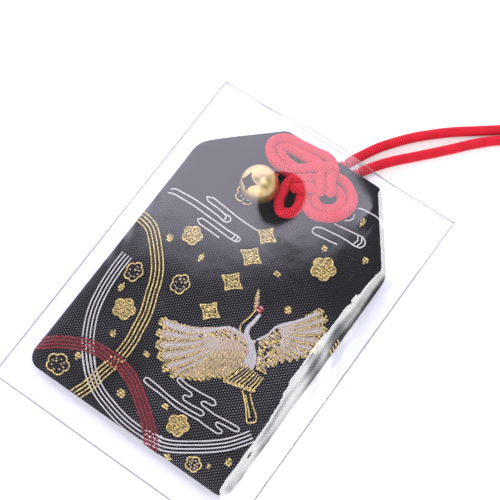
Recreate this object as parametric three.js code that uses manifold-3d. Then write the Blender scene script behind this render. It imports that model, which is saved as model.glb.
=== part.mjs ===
// Omamori charm in its clear sleeve: brocade bag, lining, card, talisman, knotted cord and bell.
// Millimetres. X runs across the sleeve, Y towards its mouth, Z up off the face that it lies on.
// The origin is the middle of the sleeve's lower face.
import * as THREE from 'three';
import { mergeVertices } from 'three/addons/utils/BufferGeometryUtils.js';
import Module from 'manifold-3d';

const wasm = await Module();
wasm.setup();

// Driving dimensions of the clear sleeve
const sleeve_width = 62;
const sleeve_length = 85;
const film_thickness = 0.25;
const weld_width = 1.2;
const film_clearance = 0.45;
const mouth_dip = 3;
const crown_drop_share = 0.68;
const crown_run = 1.35;
const knot_film_reach = 3;
const film_rounds = 400;

// Driving dimensions of the bag
const bag_width = 52.6;
const bag_length = 75.2;
const bag_offset = 0.35;
const bag_bottom_gap = 4.9;
const cloth_thickness = 0.5;
const front_height = 4.45;
const back_height = 1.25;
const front_mouth_height = 0.9;
const back_mouth_height = 0.85;
const bag_lift = 0.3;
const mouth_lift = 1.85;
const bevel_width = 3.3;
const bottom_corner_radius = 3;
const shoulder_radius = 6;
const mouth_corner_radius = 3;
const left_shoulder_run = 15;
const left_shoulder_drop = 13.5;
const right_shoulder_run = 12.4;
const right_shoulder_drop = 16.5;
const taper_length = 14;
const front_taper_length = 24;
const seam_thread_diameter = 0.45;
const stitch_pitch = 2.6;
const stitch_depth = 0.5;
const edge_point_spacing = 8;

// Driving dimensions of what the bag holds
const layer_gap = 0.06;
const lining_thickness = 0.2;
const lining_side_overlap = 0.7;
const lining_end_overlap = 0.3;
const card_side_gap = 4.8;
const card_top_gap = 2.8;
const card_thickness = 0.8;
const card_corner_radius = 2;
const pack_bottom_gap = 4.4;
const tablet_side_gap = 7;
const tablet_end_gap = 1.5;
const tablet_thickness = 1.5;
const tablet_peak = 4;
const paper_thickness = 0.2;
const paper_end_gap = 0.7;
const wadding_side_gap = 1;
const wadding_end_gap = 0.5;
const wadding_thickness = 0.85;
const wadding_bevel = 0.3;

// Driving dimensions of the cord and the bell
const cord_diameter = 2.2;
const eyelet_clearance = 0.6;
const eyelet_spacing = 3.3;
const eyelet_offset = 2.9;
const eyelet_drop = 6.3;
const knot_rest_gap = 0.3;
const bell_diameter = 8.5;
const bell_wall = 0.4;
const bell_opening = 5.2;
const bell_opening_power = 0.78;
const bail_wire_diameter = 0.5;
const bail_clearance = 0.15;
const tie_diameter = 0.7;
const pellet_diameter = 3;
const bell_lean = 37.8;
const bell_heading = 233.7;
const bell_swing = -15;
const bell_rest_gap = 0.1;
const bell_tie_drop = 14.07;
const bell_tie_offset = 5.12;
const bell_tie_straight = 0.8;
const bail_leg_spacing = 1.5;

// Values worked out from the driving dimensions
const sleeve_half_width = sleeve_width / 2;
const sleeve_half_length = sleeve_length / 2;
const bag_bottom = weld_width + bag_bottom_gap - sleeve_half_length;
const bag_top = bag_bottom + bag_length;
const bag_left = bag_offset - bag_width / 2;
const bag_right = bag_offset + bag_width / 2;
const seam_height = film_thickness + bag_lift + back_height;
const taper_start = bag_top - 1.5 * taper_length;
const front_taper_start = bag_top - front_taper_length;
const bell_radius = bell_diameter / 2;
const bail_ring_radius = (tie_diameter + bail_wire_diameter) / 2 + bail_clearance;
const bell_reach = bell_radius + tie_diameter / 2 + bail_clearance;
const cord_radius = cord_diameter / 2;

// Materials, one for each finish
function finish(name, color, roughness, metalness = 0) {
  return new THREE.MeshStandardMaterial({ name, color, roughness, metalness });
}
const film = finish('clear_film', 0xe9edf0, 0.12);
film.transparent = true;
film.opacity = 0.3;
const brocade = finish('brocade', 0x1f1e22, 0.75);
const gold_thread = finish('gold_thread', 0xc9a84c, 0.45);
const lining_cloth = finish('lining_cloth', 0xe8e4d8, 0.85);
const wadding_wool = finish('wadding_wool', 0xf3f1ea, 0.95);
const card_board = finish('card_board', 0xc8b48c, 0.9);
const wood = finish('wood', 0xd9bd8b, 0.7);
const paper = finish('paper', 0xf4f1e6, 0.85);
const red_cord = finish('red_cord', 0xd81f33, 0.7);
const brass = finish('brass', 0xc9a24a, 0.28, 1);
const steel = finish('steel', 0xb8bcc0, 0.35, 1);

// Solids and meshes
function toManifold(geometry) {
  const bare = geometry.clone();
  for (const name of Object.keys(bare.attributes)) {
    if (name !== 'position') bare.deleteAttribute(name);
  }
  const merged = mergeVertices(bare, 1e-4);
  return new wasm.Manifold(new wasm.Mesh({
    numProp: 3,
    vertProperties: new Float32Array(merged.attributes.position.array),
    triVerts: new Uint32Array(merged.index.array),
  }));
}

function toGeometry(solid) {
  const mesh = solid.getMesh();
  const geometry = new THREE.BufferGeometry();
  const positions = new Float32Array(mesh.vertProperties);
  geometry.setAttribute('position', new THREE.BufferAttribute(positions, 3));
  geometry.setIndex(new THREE.BufferAttribute(new Uint32Array(mesh.triVerts), 1));
  geometry.computeVertexNormals();
  return geometry;
}

function triangleGeometry(points, faces) {
  const geometry = new THREE.BufferGeometry();
  const positions = points.flatMap((point) => point.toArray());
  geometry.setAttribute('position', new THREE.Float32BufferAttribute(positions, 3));
  geometry.setIndex(faces.flat());
  geometry.computeVertexNormals();
  return geometry;
}

function part(name, geometry, material) {
  const mesh = new THREE.Mesh(geometry, material);
  mesh.name = name;
  return mesh;
}

// A cord or wire of round section that follows points in three dimensions
function tube(points, diameter, sides, steps) {
  const stations = points.map(([x, y, z]) => new THREE.Vector3(x, y, z));
  const path = new THREE.CatmullRomCurve3(stations, false, 'centripetal');
  const section = new THREE.Shape();
  for (let side = 0; side < sides; side += 1) {
    const angle = (2 * Math.PI * side) / sides;
    const x = (diameter / 2) * Math.cos(angle);
    const y = (diameter / 2) * Math.sin(angle);
    if (side === 0) section.moveTo(x, y);
    else section.lineTo(x, y);
  }
  section.closePath();
  return new THREE.ExtrudeGeometry(section, { steps, bevelEnabled: false, extrudePath: path });
}

// The outline starts at the lower left, and about this share of it lies before the middle of the mouth
const top_edge_share = 0.6;

// Outline of the bag, its edges moved in by an inset, as points that run anticlockwise.
// Every corner is an arc of the same number of points, so that two insets pair up point by point.
const arc_steps = 5;

function bagCorners() {
  return [
    { x: bag_left, y: bag_bottom, radius: bottom_corner_radius },
    { x: bag_right, y: bag_bottom, radius: bottom_corner_radius },
    { x: bag_right, y: bag_top - right_shoulder_drop, radius: shoulder_radius },
    { x: bag_right - right_shoulder_run, y: bag_top, radius: mouth_corner_radius },
    { x: bag_left + left_shoulder_run, y: bag_top, radius: mouth_corner_radius },
    { x: bag_left, y: bag_top - left_shoulder_drop, radius: shoulder_radius },
  ];
}

function insetCorners(corners, inset) {
  return corners.map((corner, index) => {
    const before = corners.at(index - 1);
    const after = corners[(index + 1) % corners.length];
    const arriving = new THREE.Vector2(corner.x - before.x, corner.y - before.y).normalize();
    const leaving = new THREE.Vector2(after.x - corner.x, after.y - corner.y).normalize();
    const turn = arriving.x * leaving.y - arriving.y * leaving.x;
    return {
      x: corner.x + (inset * (leaving.x - arriving.x)) / turn,
      y: corner.y + (inset * (leaving.y - arriving.y)) / turn,
      radius: Math.max(corner.radius - inset, corner.radius / 3),
      edge_steps: Math.ceil(Math.hypot(after.x - corner.x, after.y - corner.y) / edge_point_spacing),
      arriving,
      leaving,
      turn,
    };
  });
}

function roundedOutline(corners) {
  const arcs = corners.map((corner) => {
    const half_angle = Math.asin(Math.min(corner.turn, 1)) / 2;
    const trim = corner.radius * Math.tan(half_angle);
    const start = new THREE.Vector2(corner.x, corner.y).addScaledVector(corner.arriving, -trim);
    const inward = new THREE.Vector2(-corner.arriving.y, corner.arriving.x);
    const centre = start.clone().addScaledVector(inward, corner.radius);
    return { start, centre, angle: 2 * half_angle, edge_steps: corner.edge_steps };
  });
  const points = [];
  for (const [index, arc] of arcs.entries()) {
    for (let step = 0; step <= arc_steps; step += 1) {
      points.push(arc.start.clone().rotateAround(arc.centre, (arc.angle * step) / arc_steps));
    }
    const last = points.at(-1);
    const next = arcs[(index + 1) % arcs.length].start;
    for (let step = 1; step < arc.edge_steps; step += 1) {
      points.push(last.clone().lerp(next, step / arc.edge_steps));
    }
  }
  return points;
}

function bagOutline(inset) {
  return roundedOutline(insetCorners(bagCorners(), inset));
}

// Heights of the bag: the seam line lifts towards the mouth, where the two panels come together
function smooth(share) {
  const limited = Math.min(Math.max(share, 0), 1);
  return limited * limited * (3 - 2 * limited);
}
function taper(y) {
  return smooth((y - taper_start) / taper_length);
}
function seamLine(y) {
  return seam_height + mouth_lift * taper(y);
}
function frontRise(y) {
  const closing = smooth((y - front_taper_start) / front_taper_length);
  return front_height + (front_mouth_height - front_height) * closing;
}
function backDrop(y) {
  return back_height + (back_mouth_height - back_height) * taper(y);
}

// Side profiles as [inset in bevel widths, height share], from the seam to the flat of the panel
const seam_inset_share = 0.3;
const front_profile_shares = [
  [seam_inset_share, 0.09], [0.06, 0.2], [0, 0.32], [0.25, 0.6], [0.62, 0.86], [1.05, 0.965],
];
const back_profile_shares = [[seam_inset_share, 0.32], [0.12, 0.55], [0.3, 0.85], [0.7, 1]];
// Further rings lie at these shares of the panel's tapered length, where the height is full
const flat_shares = [0.28, 0.46, 0.64, 0.82, 1];

// A surface of one panel, as rings of points from the seam to the middle. A depth moves it inwards.
function panelRings(profile_shares, side, depth) {
  const tapered_length = bag_top - (side > 0 ? front_taper_start : taper_start);
  const bevel_rings = profile_shares.map(([inset_share, height_share], index) => {
    const turned_share = index / (profile_shares.length - 1);
    const inset = bevel_width * inset_share + depth * (1 - turned_share);
    return { inset, height_share, down: depth * smooth(1.5 * turned_share) };
  });
  const flat_rings = flat_shares.map((share) => {
    return { inset: share * tapered_length, height_share: 1, down: depth };
  });
  return [...bevel_rings, ...flat_rings].map(({ inset, height_share, down }) => {
    return bagOutline(inset).map((point) => {
      const full = side > 0 ? frontRise(point.y) : backDrop(point.y);
      const height = seamLine(point.y) + side * (full * height_share - down);
      return new THREE.Vector3(point.x, point.y, height);
    });
  });
}

// A closed shell or sheet between an outer and an inner list of rings that pair up
function shellFromRings(outer, inner, side) {
  const points = [];
  const faces = [];
  const face = (a, b, c) => faces.push(side > 0 ? [a, b, c] : [a, c, b]);
  const count = outer[0].length;
  const start = (list, ring) => (list === outer ? ring : outer.length + ring) * count;
  for (const ring of [...outer, ...inner]) points.push(...ring);
  const middle = (ring) => ring.reduce((sum, p) => sum.add(p), new THREE.Vector3()).divideScalar(count);
  const outer_middle = points.push(middle(outer.at(-1))) - 1;
  const inner_middle = points.push(middle(inner.at(-1))) - 1;
  for (let i = 0; i < count; i += 1) {
    const j = (i + 1) % count;
    for (let ring = 0; ring + 1 < outer.length; ring += 1) {
      const a = start(outer, ring);
      const b = start(outer, ring + 1);
      face(a + i, a + j, b + j);
      face(a + i, b + j, b + i);
    }
    for (let ring = 0; ring + 1 < inner.length; ring += 1) {
      const a = start(inner, ring);
      const b = start(inner, ring + 1);
      face(a + i, b + j, a + j);
      face(a + i, b + i, b + j);
    }
    const outer_last = start(outer, outer.length - 1);
    const inner_last = start(inner, inner.length - 1);
    face(outer_last + i, outer_last + j, outer_middle);
    face(inner_last + j, inner_last + i, inner_middle);
    const inner_first = start(inner, 0);
    face(i, inner_first + i, inner_first + j);
    face(i, inner_first + j, j);
  }
  return triangleGeometry(points, faces);
}

// The cord's legs pass through the bag's mouth in two eyelets, below the knot
const eyelets = [-1, 1].map((side) => {
  return { x: bag_offset + eyelet_offset + (side * eyelet_spacing) / 2, y: bag_top - eyelet_drop };
});

function eyeletCut() {
  const radius = cord_radius + eyelet_clearance;
  let cut = null;
  for (const eyelet of eyelets) {
    const pin = new THREE.CylinderGeometry(radius, radius, sleeve_width, 16);
    pin.rotateX(Math.PI / 2);
    pin.translate(eyelet.x, eyelet.y, 0);
    cut = cut ? cut.add(toManifold(pin)) : toManifold(pin);
  }
  return cut;
}

function brocadePanel(profile_shares, side) {
  const outer = panelRings(profile_shares, side, 0);
  const inner = panelRings(profile_shares, side, cloth_thickness);
  const shell = toManifold(shellFromRings(outer, inner, side));
  return toGeometry(shell.subtract(eyeletCut()));
}

function roundedRectangle(width, length, radius) {
  const shape = new THREE.Shape();
  const x = width / 2 - radius;
  const y = length / 2 - radius;
  shape.absarc(x, y, radius, 0, Math.PI / 2);
  shape.absarc(-x, y, radius, Math.PI / 2, Math.PI);
  shape.absarc(-x, -y, radius, Math.PI, 1.5 * Math.PI);
  shape.absarc(x, -y, radius, 1.5 * Math.PI, 2 * Math.PI);
  shape.closePath();
  return shape;
}

// The flat pack inside the bag, from the back up: card, folded paper round the tablet, wadding
const pack_bottom = bag_bottom + pack_bottom_gap;
const card_width = bag_width - 2 * card_side_gap;
const card_length = taper_start - card_top_gap - pack_bottom;
const lining_width = card_width + 2 * lining_side_overlap;
const lining_length = card_length + 2 * lining_end_overlap;
const tablet_width = card_width - 2 * tablet_side_gap;
const tablet_length = card_length - 2 * tablet_end_gap;
const paper_length = card_length - 2 * paper_end_gap;
const wadding_width = card_width - 2 * wadding_side_gap;
const wadding_length = card_length - 2 * wadding_end_gap;
const lining_base = film_thickness + bag_lift + cloth_thickness + layer_gap;
const card_base = lining_base + lining_thickness + layer_gap;
const paper_base = card_base + card_thickness + layer_gap;
const tablet_base = paper_base + paper_thickness + layer_gap;
const paper_height = tablet_thickness + 2 * (paper_thickness + layer_gap);
const wadding_base = paper_base + paper_height + layer_gap;
const lining_front_base = wadding_base + wadding_thickness + layer_gap;

function flatSheet(width, length, thickness, base) {
  const shape = roundedRectangle(width, length, card_corner_radius);
  const settings = { depth: thickness, bevelEnabled: false, curveSegments: 4 };
  const geometry = new THREE.ExtrudeGeometry(shape, settings);
  return geometry.translate(bag_offset, pack_bottom + card_length / 2, base);
}

function liningSheet(base) {
  return flatSheet(lining_width, lining_length, lining_thickness, base);
}

function stiffenerCard() {
  return flatSheet(card_width, card_length, card_thickness, card_base);
}

function talismanTablet() {
  const x = tablet_width / 2;
  const shape = new THREE.Shape([
    new THREE.Vector2(-x, 0),
    new THREE.Vector2(x, 0),
    new THREE.Vector2(x, tablet_length - tablet_peak),
    new THREE.Vector2(0, tablet_length),
    new THREE.Vector2(-x, tablet_length - tablet_peak),
  ]);
  const geometry = new THREE.ExtrudeGeometry(shape, { depth: tablet_thickness, bevelEnabled: false });
  return geometry.translate(bag_offset, pack_bottom + (card_length - tablet_length) / 2, tablet_base);
}

function talismanPaper() {
  const inner_width = tablet_width + 2 * layer_gap;
  const outer_width = inner_width + 2 * paper_thickness;
  const inner_height = paper_height - 2 * paper_thickness;
  const band = roundedRectangle(outer_width, paper_height, paper_thickness);
  band.holes.push(roundedRectangle(inner_width, inner_height, layer_gap));
  const settings = { depth: paper_length, bevelEnabled: false, curveSegments: 2 };
  const geometry = new THREE.ExtrudeGeometry(band, settings).rotateX(Math.PI / 2);
  const paper_top = pack_bottom + (card_length + paper_length) / 2;
  return geometry.translate(bag_offset, paper_top, paper_base + paper_height / 2);
}

function waddingPad() {
  const width = wadding_width - 2 * wadding_bevel;
  const length = wadding_length - 2 * wadding_bevel;
  const geometry = new THREE.ExtrudeGeometry(roundedRectangle(width, length, card_corner_radius), {
    depth: wadding_thickness - 2 * wadding_bevel,
    curveSegments: 4,
    bevelSize: wadding_bevel,
    bevelThickness: wadding_bevel,
    bevelSegments: 2,
  });
  return geometry.translate(bag_offset, pack_bottom + card_length / 2, wadding_base + wadding_bevel);
}

// One thread draws the two panels together in a ladder stitch round the left, lower and right sides
function seamThread() {
  const seam_inset = bevel_width * seam_inset_share;
  const sides = [seam_inset, seam_inset + stitch_depth].map((inset) => {
    const closed = bagOutline(inset).map((p) => new THREE.Vector3(p.x, p.y, seam_height));
    return new THREE.CatmullRomCurve3([...closed, closed[0]], false, 'centripetal');
  });
  const stitches = Math.round(sides[0].getLength() / stitch_pitch);
  const points = [];
  for (let stitch = 0; stitch < stitches; stitch += 1) {
    const point = sides[stitch % 2].getPointAt((top_edge_share + stitch / stitches) % 1);
    if (point.y < taper_start - stitch_pitch) points.push(point.toArray());
  }
  return tube(points, seam_thread_diameter, 5, points.length * 2);
}

// The cord's points are measured from the middle of the bag's mouth edge. A stretch of the knot is
// [x, y, layer]: a layer of 0 lies on the bag and each one more lies a cord's diameter higher.
// Both ears are doubled, the lower loop is single.
const left_ear_outer = [
  [-0.95, -9.6, 0.4], [-4.35, -9.5, 0.2], [-7.95, -9, 0.2], [-10.65, -7.3, 0.1], [-11.45, -4.9, 0.1],
  [-9.75, -2.8, 0.1], [-5.95, -2.1, 0.15], [-1.95, -2.2, 0.5], [1.45, -2.9, 0.9], [4.05, -4.9, 1.1],
  [5.75, -7.4, 1.1], [6.85, -9.6, 0.8], [6.25, -11.1, 0.2],
];
const left_ear_inner = [
  [0.45, -7.8, 0], [-2.75, -7.6, 0], [-5.95, -7.4, 0], [-8.35, -6.6, 0], [-9.15, -5.4, 0],
  [-7.95, -4.4, 0.05], [-5.15, -4.1, 0.15], [-1.95, -4.3, 0.6], [0.65, -5.2, 1.1], [2.55, -6.9, 1.15],
  [4.05, -8.9, 1], [4.75, -10.7, 0.4],
];
const right_ear_outer = [
  [4.25, -4.5, 0.2], [6.25, -4.3, 0.2], [8.25, -4.8, 0.1], [10.45, -6.4, 0.1], [11.45, -9, 0.1],
  [10.45, -11.9, 0.1], [7.95, -13.9, 0.1], [5.25, -14.5, 0.15], [3.15, -13.4, 0.3], [1.45, -11.3, 0.3],
];
const right_ear_inner = [
  [4.85, -6.9, 0], [7.05, -6.9, 0], [8.75, -7.8, 0], [9.35, -9.5, 0], [8.55, -11.2, 0], [6.75, -12.3, 0],
  [4.85, -12.2, 0.1], [3.25, -10.6, 0.2],
];
const lower_loop = [
  [-1.35, -8.8, 0.4], [-2.75, -10.8, 0.2], [-3.15, -13.2, 0.05], [-2.45, -16, 0], [-0.25, -17.9, 0.05],
  [1.75, -16.9, 0.05], [2.15, -14.8, 0.1], [1.25, -12.4, 0.15], [0.25, -10.2, 0.1],
];
const upper_band = [
  [-4.55, -8.2, 0.2], [-3.75, -7.6, 0.9], [-1.55, -6.2, 1.3], [0.25, -5.2, 0.9], [0.85, -4.8, 0.3],
];
const middle_band = [
  [-3.35, -10.1, 0.2], [-2.55, -9.4, 0.9], [-0.35, -7.9, 1.35], [1.25, -6.8, 0.9], [1.85, -6.4, 0.3],
];
const left_post = [[-1.25, -9.8, 0.6], [-0.55, -11.2, 1], [0.55, -12.8, 0.85], [1.35, -13.7, 0.3]];
const right_post = [[1.05, -9.2, 0.7], [1.95, -11, 1], [2.85, -12.3, 0.8], [3.45, -13, 0.3]];
const knot_runs = [
  left_ear_outer, left_ear_inner, right_ear_outer, right_ear_inner, lower_loop,
  upper_band, middle_band, left_post, right_post,
];
const steps_per_point = 1.8;

// Behind the bag the two legs lie on the back film and run to the mouth
const leg_height = film_thickness + layer_gap + cord_radius;
const left_leg = [[1.65, -3.4], [2.55, -1], [3.45, 1.3]];
const right_leg = [[5.05, -3.3], [6.05, -1], [7.05, 1.3]];

// The free loop lies on the table past the mouth, a cord's radius above it
const loop_route = [
  [3.7, 1.8, 1.4], [4.55, 3.9, 1.35], [5.45, 5.9, 1.15], [6.95, 8.7, 1.15], [9.15, 11.8, 1.15],
  [11.85, 15.1, 1.15], [15.05, 18.3, 1.15], [18.55, 21.4, 1.15], [22.65, 24.5, 1.15], [26.95, 27.8, 1.15],
  [30.65, 31.3, 1.15], [33.65, 35.4, 1.15], [36.65, 39.9, 1.15], [40.25, 43.6, 1.15], [44.85, 45.6, 1.15],
  [49.25, 43.9, 1.15], [50.25, 39.4, 1.15], [47.05, 35.6, 1.15], [41.95, 33.5, 1.15], [36.65, 31.2, 1.15],
  [32.05, 28.4, 1.15], [28.05, 25.4, 1.15], [24.05, 21.6, 1.15], [20.85, 18, 1.15], [17.65, 14.5, 1.15],
  [14.55, 11.2, 1.15], [11.65, 8.1, 1.15], [9.65, 5.6, 1.15], [8.35, 3.6, 1.35], [7.3, 1.8, 1.4],
];

function frontSurface(y) {
  return seamLine(y) + frontRise(y);
}

function cordOnBag(run) {
  return run.map(([x, y, layer]) => {
    const on_bag = frontSurface(bag_top + y) + knot_rest_gap + cord_radius;
    return [bag_offset + x, bag_top + y, on_bag + layer * cord_diameter];
  });
}

function legRun(leg, { x, y }) {
  const top = frontSurface(y);
  const down = [top + knot_rest_gap + cord_diameter, top, leg_height + cord_radius].map((z) => [x, y, z]);
  const turn = [x, y + cord_radius, leg_height + cord_radius / 4];
  return [...down, turn, ...leg.map(([dx, dy]) => [bag_offset + dx, bag_top + dy, leg_height])];
}

function knotCord() {
  const [left_eyelet, right_eyelet] = eyelets;
  const legs = [legRun(left_leg, left_eyelet), legRun(right_leg, right_eyelet)];
  const runs = [...knot_runs.map(cordOnBag), ...legs];
  const solids = runs.map((run) => {
    return toManifold(tube(run, cord_diameter, 8, Math.round(run.length * steps_per_point)));
  });
  return toGeometry(solids.reduce((sum, solid) => sum.add(solid)));
}

function cordLoop() {
  const route = loop_route.map(([x, y, z]) => [bag_offset + x, bag_top + y, z]);
  return tube(route, cord_diameter, 8, 72);
}

// The bell leans on its bail. Its own frame has the tie in the bail at zero and its axis along Z.
const bell_tie_x = bag_offset - bell_tie_offset;
const bell_tie_y = bag_top - bell_tie_drop;
const bell_tie_shares = [1, 0.4, 0, -0.5, -1.2];
const bell_tie_return = [[-1.23, 1.67], [-0.83, 3.17]];
const bail_reach = bail_ring_radius + bail_wire_diameter / 2;
const bell_tie_height = frontSurface(bell_tie_y) + bail_reach + bell_rest_gap;

function bellShell() {
  const cavity_radius = bell_radius - bell_wall;
  const reach = bell_reach;
  const ball = (radius) => {
    const sphere = new THREE.SphereGeometry(radius, 28, 18).rotateX(Math.PI / 2);
    return toManifold(sphere.translate(0, 0, reach));
  };
  const star = new THREE.Shape();
  const star_steps = 24;
  for (let step = 0; step < star_steps; step += 1) {
    const angle = (2 * Math.PI * step) / star_steps;
    const power = 2 / bell_opening_power;
    const x = Math.sign(Math.cos(angle)) * Math.abs(Math.cos(angle)) ** power;
    const y = Math.sign(Math.sin(angle)) * Math.abs(Math.sin(angle)) ** power;
    if (step === 0) star.moveTo((x * bell_opening) / 2, (y * bell_opening) / 2);
    else star.lineTo((x * bell_opening) / 2, (y * bell_opening) / 2);
  }
  star.closePath();
  const opening = new THREE.ExtrudeGeometry(star, { depth: bell_diameter, bevelEnabled: false });
  opening.rotateZ(Math.PI / 4).translate(0, 0, reach);
  const hole = bail_wire_diameter / 2 + layer_gap;
  const leg_hole = (side) => {
    const pin = new THREE.CylinderGeometry(hole, hole, 4 * bell_wall, 10).rotateX(Math.PI / 2);
    return toManifold(pin.translate(0, (side * bail_leg_spacing) / 2, reach - bell_radius + bell_wall));
  };
  const shell = ball(bell_radius).subtract(ball(cavity_radius)).subtract(toManifold(opening));
  return toGeometry(shell.subtract(leg_hole(1)).subtract(leg_hole(-1)));
}

function bellBail() {
  const half = bail_leg_spacing / 2;
  const inside = bell_reach - bell_radius + 2.6 * bell_wall;
  const points = [[0, -half, inside], [0, -half, inside / 2], [0, -half, 0]];
  const arc = 6;
  for (let step = 1; step < arc; step += 1) {
    const angle = Math.PI + (Math.PI * step) / arc;
    points.push([0, half * Math.cos(angle), half * Math.sin(angle)]);
  }
  points.push([0, half, 0], [0, half, inside / 2], [0, half, inside]);
  return tube(points, bail_wire_diameter, 8, 26);
}

function bellGroup() {
  const heading = THREE.MathUtils.degToRad(bell_heading);
  const lean = THREE.MathUtils.degToRad(bell_lean);
  const swing_axis = new THREE.Vector3(-Math.sin(heading), Math.cos(heading), 0);
  const group = new THREE.Group();
  group.position.set(bell_tie_x, bell_tie_y, bell_tie_height);
  group.quaternion.setFromAxisAngle(swing_axis, lean);
  const turn = new THREE.Quaternion().setFromAxisAngle(new THREE.Vector3(0, 0, 1), heading - Math.PI / 2);
  group.quaternion.multiply(turn);
  group.add(part('bell_shell', bellShell(), brass));
  group.add(part('bell_bail', bellBail(), brass));
  return group;
}

function bellCentre(swing = 0) {
  const heading = THREE.MathUtils.degToRad(bell_heading);
  const lean = THREE.MathUtils.degToRad(bell_lean + swing);
  const away = bell_reach * Math.sin(lean);
  return new THREE.Vector3(
    bell_tie_x + away * Math.cos(heading),
    bell_tie_y + away * Math.sin(heading),
    bell_tie_height + bell_reach * Math.cos(lean),
  );
}

// The pellet lies at the lowest place inside the bell
function bellPellet() {
  const centre = bellCentre();
  const drop = bell_radius - bell_wall - pellet_diameter / 2 - bail_clearance;
  const pellet = new THREE.SphereGeometry(pellet_diameter / 2, 16, 12);
  return pellet.translate(centre.x, centre.y, centre.z - drop);
}

// The thin thread that ties the bail to the knot passes through the bail along the swing axis
function bellTie() {
  const heading = THREE.MathUtils.degToRad(bell_heading);
  const across = new THREE.Vector2(-Math.sin(heading), Math.cos(heading));
  const at = (share) => {
    const distance = share * bell_tie_straight;
    return [bell_tie_x - across.x * distance, bell_tie_y - across.y * distance, bell_tie_height];
  };
  const points = bell_tie_shares.map(at);
  for (const [x, y] of bell_tie_return) points.push([bell_tie_x + x, bell_tie_y + y, bell_tie_height]);
  return tube(points, tie_diameter, 6, 16);
}

// The front film is drawn tight over the bag, the knot and the bell, from weld to weld
const flat_left = bag_left + bevel_width;
const flat_right = bag_right - bevel_width;
const flat_bottom = bag_bottom + bevel_width;

function bagInset(x, y) {
  const corners = bagCorners();
  const insets = corners.map((corner, index) => {
    const next = corners[(index + 1) % corners.length];
    const edge = new THREE.Vector2(next.x - corner.x, next.y - corner.y).normalize();
    return edge.x * (y - corner.y) - edge.y * (x - corner.x);
  });
  return Math.min(...insets);
}

function filmFloor(x, y) {
  const heights = [film_thickness];
  const inset = bagInset(x, y);
  const fullness = 1 - crown_drop_share * Math.exp(-inset / crown_run);
  if (inset > 0) heights.push(seamLine(y) + frontRise(y) * fullness + film_clearance);
  for (const swing of [0, bell_swing]) {
    const bell = bellCentre(swing);
    const reach = bell_radius + film_clearance;
    const beside = Math.hypot(x - bell.x, y - bell.y);
    if (beside < reach) heights.push(bell.z + Math.sqrt(reach * reach - beside * beside));
  }
  for (const run of knot_runs.map(cordOnBag)) {
    for (const [cx, cy, cz] of run) {
      if (Math.hypot(x - cx, y - cy) < knot_film_reach) heights.push(cz + cord_radius + film_clearance);
    }
  }
  return Math.max(...heights);
}

// Every free point of the film settles at the mean of its neighbours, or on what lies under it
function tautHeights(columns, places) {
  const floors = places.map((row) => row.map(({ x, y }) => filmFloor(x, y)));
  const heights = floors.map((row) => [...row]);
  const inner = sleeve_half_width - weld_width;
  const edge_slack = weld_width / 100;
  for (let round = 0; round < film_rounds; round += 1) {
    for (let row = 0; row < places.length; row += 1) {
      for (let column = 0; column < columns.length; column += 1) {
        const { x, y } = places[row][column];
        const welded = Math.abs(x) > inner - edge_slack || y < weld_width - sleeve_half_length + edge_slack;
        if (welded) {
          heights[row][column] = film_thickness;
          continue;
        }
        const above = row + 1 < places.length ? row + 1 : row - 1;
        const sides = [[row, column - 1], [row, column + 1], [row - 1, column], [above, column]];
        let pull = 0;
        let weight = 0;
        for (const [side_row, side_column] of sides) {
          const side = places[side_row][side_column];
          const nearness = 1 / ((side.x - x) ** 2 + (side.y - y) ** 2);
          pull += nearness * heights[side_row][side_column];
          weight += nearness;
        }
        heights[row][column] = Math.max(floors[row][column], pull / weight);
      }
    }
  }
  return heights;
}

function spread(start, end, count) {
  return Array.from({ length: count }, (_, index) => start + ((end - start) * index) / count);
}

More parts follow.
